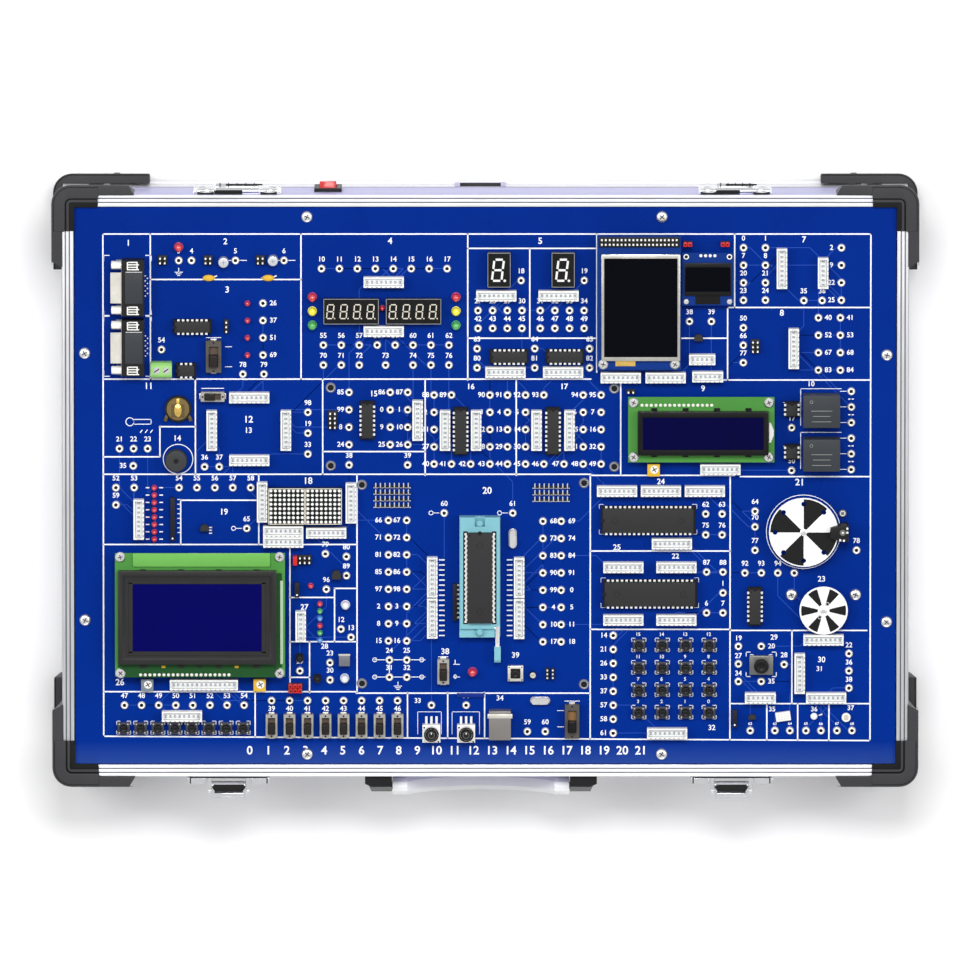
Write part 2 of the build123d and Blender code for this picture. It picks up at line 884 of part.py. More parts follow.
def push_key_points():
    return [(push_key_place[0] + step * push_key_step, push_key_place[1]) for step in range(8)]


def slide_switches():
    # Every slide switch by its knob's name, with the eight alike ones first
    width, length, knob_width, knob_length, travel = slide_key_size
    switches = {}
    for step in range(8):
        place = (slide_key_place[0] + step * slide_key_step, slide_key_place[1])
        switches[f"slide_key_{8 - step}"] = (*place, width, length, knob_width, knob_length, travel, False)
    switches.update(slide_kinds)
    return switches


def slot_size(knob_width, knob_length, travel):
    return (knob_width + 2 * slide_wall_gap, knob_length + travel + 2 * slide_wall_gap)


def turned_size(width, length, turned):
    return (length, width) if turned else (width, length)


def slide_housings():
    with BuildPart() as housings:
        with BuildSketch(on_board()):
            for x, y, width, length, _, _, _, turned in slide_switches().values():
                with Locations((x, y)):
                    Rectangle(*turned_size(width, length, turned))
        extrude(amount=slide_body_height)
        with BuildSketch(on_board(slide_body_height - slide_engage - slide_wall_gap)):
            for x, y, _, _, knob_width, knob_length, travel, turned in slide_switches().values():
                with Locations((x, y)):
                    Rectangle(*turned_size(*slot_size(knob_width, knob_length, travel), turned))
        extrude(amount=slide_body_height, mode=Mode.SUBTRACT)
    return housings.part


def key_housings():
    with BuildPart() as housings:
        with BuildSketch(on_board()):
            with Locations(*matrix_key_points(), *push_key_points()):
                Rectangle(key_body, key_body)
        extrude(amount=key_body_height)
        with BuildSketch(on_board()):
            with Locations(reset_place):
                Rectangle(reset_body, reset_body)
        extrude(amount=reset_body_height)
        for height, points in (
            (key_body_height, (*matrix_key_points(), *push_key_points())),
            (reset_body_height, (reset_place,)),
        ):
            with BuildSketch(on_board(height - key_engage - key_travel - key_side_gap)):
                with Locations(*points):
                    RegularPolygon(key_radius + key_side_gap, stud_sides)
            extrude(amount=height, mode=Mode.SUBTRACT)
    return housings.part


def control_bases():
    # Bodies of the two rotary controls and of the joystick
    with BuildPart() as bases:
        with BuildSketch(on_board()):
            with Locations(*pot_places):
                Rectangle(pot_body, pot_body)
        extrude(amount=pot_body_height)
        with BuildSketch(on_board(pot_body_height)):
            with Locations(*pot_places):
                RegularPolygon(pot_bush_radius, shaft_sides)
        extrude(amount=pot_bush_height)
        with BuildSketch(on_board(pot_body_height / 2)):
            with Locations(*pot_places):
                Circle(pot_shaft_radius + shaft_gap)
        extrude(amount=pot_body_height + pot_bush_height, mode=Mode.SUBTRACT)
        with BuildSketch(on_board()):
            with Locations(joystick_place):
                Rectangle(joystick_base[0], joystick_base[1])
        extrude(amount=joystick_base[2])
        with BuildSketch(on_board(joystick_base[2] - joystick_lift)):
            with Locations(joystick_place):
                RegularPolygon(joystick_stem_radius + joystick_gap, stud_sides)
        extrude(amount=joystick_base[2], mode=Mode.SUBTRACT)
    return bases.part


def zif_pivot():
    # The lever turns about a line along X near the front end of its socket
    x, y = zif_place
    return (x + zif_width / 2, case_y + y - zif_length / 2 + zif_pivot_inset, board_top + zif_pivot_height)


def zif_body():
    x, y = zif_place
    right, pivot_y, pivot_z = zif_pivot()
    notch = lever_bar + 2 * swing_gap
    rows = 2 * pin_pitch * 3
    with BuildPart() as body:
        with BuildSketch(on_board()):
            with Locations(zif_place):
                Rectangle(zif_width, zif_length)
        extrude(amount=zif_base_height)
        with BuildSketch(on_board(zif_base_height)):
            with Locations((x, y + zif_pivot_inset / 2)):
                Rectangle(zif_width - 2 * swing_gap, zif_length - zif_pivot_inset)
        extrude(amount=zif_cover_height)
        with BuildSketch(on_board(zif_base_height)):
            with Locations((x, y)):
                with GridLocations(rows, pin_pitch, 2, 20):
                    Rectangle(pin_pitch * 0.8, pin_pitch * 0.5)
        extrude(amount=zif_cover_height, mode=Mode.SUBTRACT)
        with BuildSketch(side_plane(right, pivot_y, pivot_z)):
            Rectangle(3 * zif_pivot_inset, 2 * lever_bar)
            with Locations((0, 2 * lever_bar)):
                Rectangle(notch, 4 * lever_bar)
        extrude(amount=-notch, mode=Mode.SUBTRACT)
        with BuildSketch(side_plane(right - notch, pivot_y, pivot_z, -1)):
            Circle(lever_shaft_radius + shaft_gap)
        extrude(amount=zif_width / 2, mode=Mode.SUBTRACT)
        with Locations((x, case_y + y + zif_length / 2 - zif_pivot_inset / 2, board_top + zif_base_height)):
            Box(zif_width / 4, zif_pivot_inset, zif_cover_height * 2, mode=Mode.SUBTRACT)
    return body.part


def control_housings():
    with BuildPart() as housings:
        add(slide_housings())
        add(key_housings())
        add(control_bases())
        add(zif_body())
    write("control_housings", housings.part)


def lever():
    # A cam shaft in the socket, the bar and an oval knob that the thumb lifts
    right, pivot_y, pivot_z = zif_pivot()
    middle = right - swing_gap - lever_bar / 2
    with BuildPart() as bar:
        with BuildSketch(side_plane(middle - lever_bar / 2, pivot_y, pivot_z, -1)):
            RegularPolygon(lever_shaft_radius, shaft_sides)
        extrude(amount=zif_width / 2 - 1)
        with BuildSketch(side_plane(middle, pivot_y, pivot_z, -1)):
            with Locations((lever_reach / 2 - lever_bar / 2, 0)):
                Rectangle(lever_reach + lever_bar / 2, lever_bar)
        extrude(amount=lever_bar / 2, both=True)
        with BuildSketch(side_plane(middle, pivot_y - lever_reach, pivot_z, -1)) as knob:
            Rectangle(lever_bar * 4, lever_bar * 2)
            chamfer(knob.vertices(), lever_bar * 0.6)
        extrude(amount=lever_bar * 0.8, both=True)
    write("zif_lever", bar.part)


def key_plunger(name, point, body_height, reach):
    with BuildPart() as plunger:
        with BuildSketch(on_board(body_height - key_engage)):
            with Locations(point):
                RegularPolygon(key_radius, stud_sides)
        extrude(amount=key_engage + reach)
    write(name, plunger.part)


def keys():
    for number, point in enumerate(matrix_key_points(), 1):
        key_plunger(f"matrix_key_{number}", point, key_body_height, key_height)
    for number, point in enumerate(push_key_points()):
        key_plunger(f"push_key_{17 - number}", point, key_body_height, key_height)
    key_plunger("reset_key", reset_place, reset_body_height, key_height)


def slide_knob(name, x, y, knob_width, knob_length, travel, turned):
    # At rest each knob stands at the front or left end of its slot
    shift = -travel / 2
    place = (x + shift, y) if turned else (x, y + shift)
    with BuildPart() as knob:
        with BuildSketch(on_board(slide_body_height - slide_engage)):
            with Locations(place):
                Rectangle(*turned_size(knob_width, knob_length, turned))
        extrude(amount=slide_engage + slide_knob_height)
        chamfer(knob.faces().sort_by(Axis.Z)[-1].edges(), slide_wall_gap)
    write(name, knob.part)


def slide_knobs():
    for name, switch in slide_switches().items():
        x, y, _, _, knob_width, knob_length, travel, turned = switch
        slide_knob(name, x, y, knob_width, knob_length, travel, turned)


def pot_knobs():
    # Each shaft has the screwdriver slot that such trimmers carry
    for name, place in zip(("speed_knob", "voltage_knob"), pot_places):
        with BuildPart() as knob:
            with BuildSketch(on_board(pot_body_height / 2 + seat_gap)):
                with Locations(place):
                    RegularPolygon(pot_shaft_radius, shaft_sides)
            extrude(amount=pot_shaft_height - pot_body_height / 2)
            with Locations((place[0], case_y + place[1], board_top + pot_shaft_height)):
                Box(2 * pot_shaft_radius, pot_shaft_radius / 3, pot_shaft_radius, mode=Mode.SUBTRACT)
        write(name, knob.part)


def joystick_cap():
    bottom = joystick_base[2] - joystick_lift + key_travel
    with BuildPart() as cap:
        with BuildSketch(on_board(bottom)):
            with Locations(joystick_place):
                RegularPolygon(joystick_stem_radius, stud_sides)
        extrude(amount=2 * joystick_lift)
        with BuildSketch(on_board(bottom + 2 * joystick_lift)):
            with Locations(joystick_place):
                RegularPolygon(joystick_cap_radius, shaft_sides)
        extrude(amount=joystick_cap_height)
        chamfer(cap.faces().sort_by(Axis.Z)[-1].edges(), joystick_cap_height / 4)
    write("joystick_cap", cap.part)


def dc_disc():
    # Eight round windows near the rim pass through the optical sensor
    windows = 8
    window_radius = 1.4
    window_inset = 3.4
    hub_radius = 4
    with BuildPart() as disc:
        with BuildSketch(on_board(dc_disc_height)):
            with Locations(dc_motor_place):
                RegularPolygon(dc_disc_radius, disc_sides)
                with PolarLocations(dc_disc_radius - window_inset, windows):
                    RegularPolygon(window_radius, stud_sides, mode=Mode.SUBTRACT)
        extrude(amount=dc_disc_thickness)
        with BuildSketch(on_board(dc_disc_height)):
            with Locations(dc_motor_place):
                RegularPolygon(hub_radius, shaft_sides)
        extrude(amount=-hub_radius)
        with BuildSketch(deck(board_bottom - dc_can_height / 3)):
            with Locations(dc_motor_place):
                RegularPolygon(dc_shaft_radius, stud_sides)
        extrude(amount=board_thickness + dc_can_height / 3 + dc_disc_height)
    write("dc_motor_disc", disc.part)


def step_disc():
    hub_radius = 4.5
    with BuildPart() as disc:
        with BuildSketch(on_board(step_disc_height)):
            with Locations(step_motor_place):
                RegularPolygon(step_disc_radius, disc_sides)
        extrude(amount=step_disc_thickness)
        with BuildSketch(on_board(step_disc_height)):
            with Locations(step_motor_place):
                RegularPolygon(hub_radius, shaft_sides)
        extrude(amount=-hub_radius)
        with BuildSketch(deck(board_bottom - step_can_height / 3)):
            with Locations(step_motor_place):
                RegularPolygon(step_shaft_radius, shaft_sides)
        extrude(amount=board_thickness + step_can_height / 3 + step_disc_height)
    write("step_motor_disc", disc.part)


def drive_motors():
    # The can of the DC motor and the geared stepper hang under the board, their shafts pass through it
    step_can = (step_motor_place[0], step_motor_place[1] + step_shaft_offset)
    ear_width = 7
    ear_thickness = 1
    with BuildPart() as motors:
        with BuildSketch(deck(board_bottom)):
            with Locations(dc_motor_place):
                RegularPolygon(dc_can_radius, disc_sides)
            with Locations(dc_motor_place):
                Circle(dc_shaft_radius + shaft_gap, mode=Mode.SUBTRACT)
        extrude(amount=-dc_can_height)
        with BuildSketch(deck(board_bottom)):
            with Locations(step_can):
                Rectangle(step_ear_spacing + ear_width, ear_width)
            with Locations(step_motor_place):
                Circle(step_shaft_radius + shaft_gap, mode=Mode.SUBTRACT)
        extrude(amount=-ear_thickness)
        with BuildSketch(deck(board_bottom)):
            with Locations(step_can):
                RegularPolygon(step_can_radius, disc_sides)
            with Locations(step_motor_place):
                Circle(step_shaft_radius + shaft_gap, mode=Mode.SUBTRACT)
        extrude(amount=-step_can_height)
        with BuildSketch(on_board()):
            with Locations(step_can):
                with GridLocations(step_ear_spacing, 0, 2, 1):
                    RegularPolygon(screw_head_radius, stud_sides)
        extrude(amount=screw_head_height)
        add(optical_sensor())
    write("drive_motors", motors.part)


def optical_sensor():
    # A forked sensor whose slot takes the edge of the DC motor's disc
    length, width, height = sensor_size
    slot_depth = length / 2 + disc_air_gap
    with BuildPart() as sensor:
        with BuildSketch(on_board()):
            with Locations(sensor_place):
                Rectangle(length, width)
        extrude(amount=height)
        left = sensor_place[0] - length / 2
        slot_height = dc_disc_thickness + 2 * disc_air_gap
        with BuildSketch(on_board(dc_disc_height - disc_air_gap)):
            with Locations((left, sensor_place[1])):
                Rectangle(2 * slot_depth, width)
        extrude(amount=slot_height, mode=Mode.SUBTRACT)
    return sensor.part


def board_parts():
    with BuildPart() as parts:
        add(round_lamps(large_lamps, large_lamp_radius, large_lamp_height, stud_sides))
        add(round_lamps(small_lamps, small_lamp_radius, small_lamp_height, stud_sides - 2))
        for blocks in board_blocks.values():
            for x, y, length, width, height in blocks:
                with BuildSketch(on_board()):
                    with Locations((x, y)):
                        Rectangle(length, width)
                extrude(amount=height)
        for x, y, radius, height in board_rounds:
            with BuildSketch(on_board()):
                with Locations((x, y)):
                    RegularPolygon(radius, shaft_sides)
            extrude(amount=height)
        for place in db9_places:
            add(serial_port(place))
        add(terminal_block())
        add(usb_port())
    write("board_parts", parts.part)


def round_lamps(columns, radius, height, sides):
    with BuildPart() as domes:
        with BuildSketch(on_board()):
            for x, y, step, count in columns:
                with Locations(*[(x, y - turn * step) for turn in range(count)]):
                    RegularPolygon(radius, sides)
        extrude(amount=height)
        chamfer(domes.faces().group_by(Axis.Z)[-1].edges(), radius / 2)
    return domes.part


def serial_port(place):
    # The metal shell is wider above than below, and a hex nut stands at each end
    depth, width, height = db9_body
    shell_width, shell_height, shell_reach = db9_shell
    slant = 0.8
    nut_radius = 2.8
    nut_spacing = 25
    face = side_plane(place[0] - depth / 2, case_y + place[1], board_top + height / 2, -1)
    with BuildPart() as port:
        with BuildSketch(on_board()):
            with Locations(place):
                Rectangle(depth, width)
        extrude(amount=height)
        with BuildSketch(face):
            with BuildLine():
                Polyline(
                    (-shell_width / 2, shell_height / 2),
                    (shell_width / 2, shell_height / 2),
                    (shell_width / 2 - slant, -shell_height / 2),
                    (-shell_width / 2 + slant, -shell_height / 2),
                    close=True,
                )
            make_face()
        extrude(amount=shell_reach)
        with BuildSketch(face):
            with GridLocations(nut_spacing, 0, 2, 1):
                RegularPolygon(nut_radius, 6)
        extrude(amount=shell_reach / 2)
    return port.part


def terminal_block():
    # Two wire entries in front, with a clamping screw over each
    length, width, height = terminal_size
    entry = 3
    front = front_plane(terminal_place[0], case_y + terminal_place[1] - width / 2, board_top + height / 3)
    with BuildPart() as block:
        with BuildSketch(on_board()):
            with Locations(terminal_place):
                Rectangle(length, width)
        extrude(amount=height)
        chamfer(block.edges().filter_by(Axis.X).group_by(Axis.Z)[-1], width / 5)
        with BuildSketch(front):
            with GridLocations(length / 2, 0, 2, 1):
                Rectangle(entry, entry)
        extrude(amount=-entry, mode=Mode.SUBTRACT)
    return block.part


def usb_port():
    length, width, height = usb_size
    front = front_plane(usb_place[0], case_y + usb_place[1] - width / 2, board_top + height / 2)
    with BuildPart() as port:
        with BuildSketch(on_board()):
            with Locations(usb_place):
                Rectangle(length, width)
        extrude(amount=height)
        with BuildSketch(front):
            Rectangle(usb_mouth[0], usb_mouth[1])
            Rectangle(*usb_tongue, mode=Mode.SUBTRACT)
        extrude(amount=-usb_mouth[2], mode=Mode.SUBTRACT)
    return port.part


def rocker_points():
    # The rocker as it stands level, x outwards from its pivot and y up
    shoulder = rocker_half_length - rocker_shoulder_inset
    return [
        (-rocker_root_depth, -rocker_root_half),
        (-rocker_shoulder_depth, -shoulder),
        (rocker_end_height, -rocker_half_length),
        (rocker_mid_height, 0),
        (rocker_end_height, rocker_half_length),
        (-rocker_shoulder_depth, shoulder),
        (-rocker_root_depth, rocker_root_half),
    ]


def rocker_pivot():
    return (switch_place, back_face - rocker_pivot_depth, rim_top - switch_drop)


def mains_rocker():
    x, y, z = rocker_pivot()
    c = cos(radians(rocker_tilt))
    s = sin(radians(rocker_tilt))
    points = [(out * c + up * s, up * c - out * s) for out, up in rocker_points()]
    with BuildPart() as rocker:
        with BuildSketch(side_plane(x, y, z)):
            with BuildLine():
                Polyline(*points, close=True)
            make_face()
        extrude(amount=rocker_width / 2, both=True)
    write("mains_rocker", rocker.part)


def power_unit():
    # The mains switch frame, the mains inlet and the supply that they feed
    switch_face = back_plane(switch_place, back_face, rim_top - switch_drop)
    panel_face = back_face - skirt_wall - panel_fit
    inlet_face = back_plane(inlet_place, panel_face, rim_top - inlet_drop)
    hole = switch_opening()
    inlet_hole = inlet_opening()
    with BuildPart() as unit:
        with BuildSketch(switch_face):
            Rectangle(switch_bezel_width, switch_bezel_height)
        extrude(amount=switch_bezel_thickness)
        with BuildSketch(switch_face):
            Rectangle(hole[0] - 2 * panel_fit, hole[1] - 2 * panel_fit)
        extrude(amount=-switch_depth)
        with BuildSketch(switch_face.offset(switch_bezel_thickness)):
            Rectangle(*rocker_opening())
        extrude(amount=-(switch_depth - switch_bezel_thickness), mode=Mode.SUBTRACT)
        with BuildSketch(inlet_face):
            Rectangle(inlet_width, inlet_height)
        extrude(amount=inlet_flange)
        with BuildSketch(inlet_face):
            Rectangle(inlet_hole[0] - 2 * panel_fit, inlet_hole[1] - 2 * panel_fit)
        extrude(amount=-inlet_depth)
        with BuildSketch(inlet_face.offset(inlet_flange)):
            Rectangle(inlet_width - 2 * inlet_rim, inlet_height - 2 * inlet_rim)
        extrude(amount=-inlet_recess_depth, mode=Mode.SUBTRACT)
        with BuildSketch(inlet_face.offset(inlet_flange - inlet_recess_depth)):
            with Locations(*inlet_pins):
                Rectangle(*inlet_pin_size)
        extrude(amount=inlet_recess_depth - 2 * inlet_flange)
        with BuildSketch(deck(floor_top)):
            with Locations(supply_place):
                Rectangle(*supply_size)
        extrude(amount=supply_height)
    write("power_unit", unit.part)


def latch_pivot(place):
    return (place, front_face - latch_pivot_stand, rim_top - latch_pivot_drop)


def latch_lever(name, place):
    # A pressed channel that hangs from its pin, thick at the top and thin at the finger lip
    half = latch_width / 2
    pin = half + latch_ear_width
    side = side_plane(*latch_pivot(place), -1)
    with BuildPart() as latch:
        with BuildSketch(side):
            RegularPolygon(latch_ear_radius - swing_gap, shaft_sides)
            with BuildLine():
                Polyline(
                    (0, latch_ear_radius - swing_gap),
                    (latch_depth, latch_ear_radius - swing_gap),
                    (latch_depth, -latch_depth),
                    (latch_depth / 2, -latch_length + latch_lip),
                    (latch_depth / 2 + latch_wall, -latch_length),
                    (latch_wall / 3, -latch_length),
                    (0, 0),
                    close=True,
                )
            make_face()
        extrude(amount=half, both=True)
        with BuildSketch(side):
            with Locations((latch_depth * 0.6, 0)):
                Rectangle(latch_depth * 0.55, 3 * latch_depth)
        extrude(amount=half - latch_wall, both=True, mode=Mode.SUBTRACT)
        with BuildSketch(side):
            RegularPolygon(latch_pin_radius, shaft_sides)
        extrude(amount=pin, both=True)
    write(name, latch.part)


def latch_base(place):
    side = side_plane(*latch_pivot(place), -1)
    inner = latch_width / 2 + swing_gap / 2
    plate_middle = rim_top - latch_plate_height / 2 - latch_plate_drop
    with BuildPart() as base:
        with BuildSketch(front_plane(place, front_face, plate_middle)) as outline:
            Rectangle(latch_plate_width, latch_plate_height)
            chamfer(outline.vertices(), latch_plate_corner)
        extrude(amount=latch_plate_thickness)
        for end in (-1, 1):
            with BuildSketch(side.offset(end * (inner + latch_ear_width / 2))):
                RegularPolygon(latch_ear_radius, shaft_sides)
                with Locations((-latch_pivot_stand / 2, 0)):
                    Rectangle(latch_pivot_stand, 2 * latch_ear_radius)
                Circle(latch_pin_radius + shaft_gap, mode=Mode.SUBTRACT)
            extrude(amount=latch_ear_width / 2, both=True)
    return base.part


def handle_pivot():
    return (handle_place, front_face - handle_pivot_stand, rim_top - handle_pivot_drop)


def handle_bracket(end):
    # A black block that tapers towards its outer end and holds one pin of the handle
    x, y, z = handle_pivot()
    inner = x + end * (handle_span / 2 - handle_bracket_width)
    with BuildPart() as bracket:
        with BuildSketch(side_plane(inner, front_face, z, end)):
            with Locations((-end * handle_bracket_depth / 2, 0)):
                Rectangle(handle_bracket_depth, 2 * handle_bracket_rise)
        extrude(amount=handle_bracket_width)
        outer = bracket.faces().sort_by(Axis.X)[-1 if end > 0 else 0]
        chamfer(outer.edges().sort_by(Axis.Y)[0], handle_pivot_stand / 2, handle_bracket_width / 2)
        with BuildSketch(side_plane(inner, y, z, end)):
            Circle(handle_pin_radius + shaft_gap)
        extrude(amount=handle_bracket_width / 2, mode=Mode.SUBTRACT)
    return bracket.part


def handle():
    # The grip hangs in a shallow bow between two eyes, one pin at each end
    x, y, z = handle_pivot()
    half = handle_span / 2 - handle_bracket_width - swing_gap
    pin_length = handle_bracket_width / 2 - 1
    eye_middle = half - handle_eye_width / 2
    with BuildPart() as grip:
        with BuildLine(front_plane(x, y, z)) as bow:
            ThreePointArc((-eye_middle, 0), (0, -handle_sag), (eye_middle, 0))
        start = Plane(origin=bow.line @ 0, z_dir=bow.line % 0)
        with BuildSketch(start) as section:
            Rectangle(handle_thickness, handle_thickness)
            chamfer(section.vertices(), handle_thickness / 4)
        sweep()
        for end in (-1, 1):
            inner = side_plane(x + end * (half - handle_eye_width), y, z, end)
            with BuildSketch(inner):
                RegularPolygon(handle_thickness / 2, shaft_sides)
            extrude(amount=handle_eye_width)
            with BuildSketch(inner.offset(handle_eye_width)):
                RegularPolygon(handle_pin_radius, shaft_sides)
            extrude(amount=pin_length)
    write("carrying_handle", grip.part)


def hinge_half(place, leaf_width, knuckle_width):
    # The lower half of a lift-off hinge: its leaf on the back wall and an open knuckle
    axis_y = back_face + knuckle_stand
    axis_z = rim_top - knuckle_drop
    with BuildPart() as half:
        with BuildSketch(back_plane(place, back_face, axis_z - hinge_leaf_height / 2)):
            Rectangle(leaf_width, hinge_leaf_height)
        extrude(amount=hinge_leaf_thickness)
        with BuildSketch(side_plane(place, axis_y, axis_z)):
            Circle(knuckle_radius)
            with Locations((-knuckle_stand / 2, -knuckle_radius / 2)):
                Rectangle(knuckle_stand, knuckle_radius)
            Circle(hinge_bore_radius, mode=Mode.SUBTRACT)
        extrude(amount=knuckle_width / 2, both=True)
    return half.part


def board_fixings():
    # Eight hexagonal pillars stand on the floor, and a pan-head screw goes into each
    with BuildPart() as fixings:
        with BuildSketch(deck(floor_top)):
            with Locations(*board_screws):
                RegularPolygon(standoff_radius, 6)
                RegularPolygon(screw_radius + screw_thread_gap, stud_sides, mode=Mode.SUBTRACT)
        extrude(amount=board_bottom - floor_top)
        with BuildSketch(on_board(-screw_length)):
            with Locations(*board_screws):
                RegularPolygon(screw_radius, stud_sides)
        extrude(amount=screw_length)
        with BuildSketch(on_board()):
            with Locations(*board_screws):
                RegularPolygon(screw_head_radius, stud_sides)
        extrude(amount=screw_head_height, taper=25)
    return fixings.part


def case_hardware():
    with BuildPart() as hardware:
        for place in latch_places:
            add(latch_base(place))
        for end in (-1, 1):
            add(handle_bracket(end))
        for leaf in hinge_leaves:
            add(hinge_half(*leaf))
        add(board_fixings())
    write("case_hardware", hardware.part)


os.makedirs("parts", exist_ok=True)
case_panels()
case_rails()
corner_guards()
circuit_board()
patch_sockets()
pin_connectors()
chip_packages()
display_modules()
control_housings()
keys()
slide_knobs()
pot_knobs()
joystick_cap()
lever()
dc_disc()
step_disc()
drive_motors()
board_parts()
mains_rocker()
power_unit()
for latch_name, latch_place in zip(("left_latch", "right_latch"), latch_places):
    latch_lever(latch_name, latch_place)
handle()
case_hardware()
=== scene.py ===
import math
import random

import bmesh
import bpy
from mathutils import Matrix, Vector


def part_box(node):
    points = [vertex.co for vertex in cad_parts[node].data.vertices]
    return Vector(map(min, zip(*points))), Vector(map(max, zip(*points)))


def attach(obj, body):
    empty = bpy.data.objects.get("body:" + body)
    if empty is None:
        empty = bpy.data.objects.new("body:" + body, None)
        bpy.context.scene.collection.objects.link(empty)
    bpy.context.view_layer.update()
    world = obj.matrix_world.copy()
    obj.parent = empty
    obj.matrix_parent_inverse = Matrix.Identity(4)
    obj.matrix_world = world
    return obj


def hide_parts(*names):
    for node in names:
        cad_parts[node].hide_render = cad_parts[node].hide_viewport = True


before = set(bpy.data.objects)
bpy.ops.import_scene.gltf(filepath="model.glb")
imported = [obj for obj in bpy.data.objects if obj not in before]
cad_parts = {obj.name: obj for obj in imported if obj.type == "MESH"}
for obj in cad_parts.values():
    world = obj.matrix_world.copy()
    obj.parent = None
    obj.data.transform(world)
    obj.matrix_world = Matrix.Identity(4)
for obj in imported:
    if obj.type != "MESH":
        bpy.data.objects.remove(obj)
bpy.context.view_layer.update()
mm = 0.001
caseY = 2.95  # the board's middle in the frame, in mm
rimX, rimY = 231.5, 160.25  # half the case over its rim
pitch = 2.54
fourWays = ((-1, -1), (-1, 1), (1, -1), (1, 1))
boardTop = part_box("circuit_board")[1].z / mm
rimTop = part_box("case_rails")[1].z / mm
backFace = caseY + rimY
frontFace = caseY - rimY
bpy.context.scene.view_settings.view_transform = "Standard"
print("frame loaded:", len(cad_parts), "nodes")


# ---- small helpers ----
def link(name, data):
    thing = bpy.data.objects.new(name, data)
    bpy.context.scene.collection.objects.link(thing)
    return thing


def meshOf(thing):
    # the object's plain mesh with its modifiers worked out
    bpy.context.view_layer.update()
    return bpy.data.meshes.new_from_object(thing.evaluated_get(bpy.context.evaluated_depsgraph_get()))


def around(count, phase=0.0):
    # angles of a full turn in equal steps
    return [phase + 2 * math.pi * k / count for k in range(count)]


def addNode(tree, kind, settings=None, values=None):
    # a value is a constant or a link from another node
    made = tree.nodes.new(kind)
    for key, value in (settings or {}).items():
        setattr(made, key, value)
    for key, value in (values or {}).items():
        feed(tree, made.inputs[key], value)
    return made


def feed(tree, socket, value):
    if isinstance(value, Wire):
        value = value.socket
    if isinstance(value, bpy.types.NodeSocket):
        tree.links.new(value, socket)
    else:
        socket.default_value = value


# ---- shader maths written as sums ----
class Wire:
    def __init__(self, finish, socket):
        self.finish = finish
        self.socket = socket

    def __add__(self, other):
        return self.finish.maths("ADD", self, other)

    def __radd__(self, other):
        return self.finish.maths("ADD", other, self)

    def __sub__(self, other):
        return self.finish.maths("SUBTRACT", self, other)

    def __rsub__(self, other):
        return self.finish.maths("SUBTRACT", other, self)

    def __mul__(self, other):
        return self.finish.maths("MULTIPLY", self, other)

    def __rmul__(self, other):
        return self.finish.maths("MULTIPLY", other, self)

    def __truediv__(self, other):
        return self.finish.maths("DIVIDE", self, other)

    def __rtruediv__(self, other):
        return self.finish.maths("DIVIDE", other, self)

    def __gt__(self, other):
        return self.finish.maths("GREATER_THAN", self, other)

    def __lt__(self, other):
        return self.finish.maths("LESS_THAN", self, other)

    def __mod__(self, other):
        return self.finish.maths("FLOORED_MODULO", self, other)


def linear(colour):
    # a colour is written as it looks on a screen, 0 to 255
    parts = [c / 255 for c in colour]
    return [p / 12.92 if p < 0.04045 else ((p + 0.055) / 1.055) ** 2.4 for p in parts] + [1]


def tint(base, share, lift=0.0):
    return [min(1, c * share + lift) for c in base[:3]] + [1]


class Finish:
    sockets = {"color": "Base Color", "rough": "Roughness", "metal": "Metallic", "coat": "Coat Weight",
               "coatRough": "Coat Roughness", "normal": "Normal", "specular": "Specular IOR Level",
               "glow": "Emission Color", "glowPower": "Emission Strength",
               "through": "Subsurface Weight", "depth": "Subsurface Scale"}

    def __init__(self, name):
        self.material = bpy.data.materials.new(name)
        self.material.use_nodes = True
        self.tree = self.material.node_tree
        self.shader = self.tree.nodes["Principled BSDF"]

    def node(self, kind, settings=None, values=None, out=0):
        return Wire(self, addNode(self.tree, kind, settings, values).outputs[out])

    def set(self, **values):
        for key, value in values.items():
            feed(self.tree, self.shader.inputs[self.sockets[key]], value)
        return self.material

    def place(self, scale=(1, 1, 1), at=(0, 0, 0)):
        # object coordinates in millimetres about a point, stretched by scale
        point = self.node("ShaderNodeTexCoord", out=3)
        return self.node("ShaderNodeMapping", {"vector_type": "POINT"},
                         {0: point, "Location": [-a * s for a, s in zip(at, scale)],
                          "Scale": [1000 * s for s in scale]})

    def noise(self, size, scale=(1, 1, 1), detail=3):
        return self.node("ShaderNodeTexNoise", None,
                         {"Vector": self.place(scale), "Scale": 1 / size, "Detail": detail, "Roughness": 0.5})

    def blend(self, amount, first, second):
        return self.node("ShaderNodeMix", {"data_type": "RGBA"}, {0: amount, 6: first, 7: second}, 2)

    def axes(self, at=(0, 0, 0)):
        spot = self.place(at=at)
        return [self.node("ShaderNodeSeparateXYZ", None, {0: spot}, k) for k in range(3)]

    def maths(self, operation, *values):
        return self.node("ShaderNodeMath", {"operation": operation}, dict(enumerate(values)))

    def bump(self, height, strength, distance):
        return self.node("ShaderNodeBump", None,
                         {"Height": height, "Strength": strength, "Distance": distance * mm})


def surface(name, colour, rough, metal=0.0, grain=0.3, dents=0.15, drift=0.12, stretch=(1, 1, 1),
            coat=0.0, specular=0.14, patch=14, through=0.0):
    # a finish with broad colour drift, fine grain in roughness and a low bump
    made = Finish(name)
    spread = 0.12
    broad = made.noise(patch, detail=4)
    fine = made.noise(grain, stretch, detail=2)
    base = linear(colour)
    made.set(color=made.blend(broad * 0.6 + fine * 0.4, tint(base, 1 - drift), tint(base, 1 + drift, drift * 0.01)),
             rough=(fine - 0.5) * spread * 1.4 + (broad - 0.5) * spread + rough,
             metal=metal, specular=specular, normal=made.bump(fine, dents, grain * 0.25))
    if coat:
        made.set(coat=coat, coatRough=0.12)
    if through:
        made.set(through=through, depth=0.001)
    return made.material


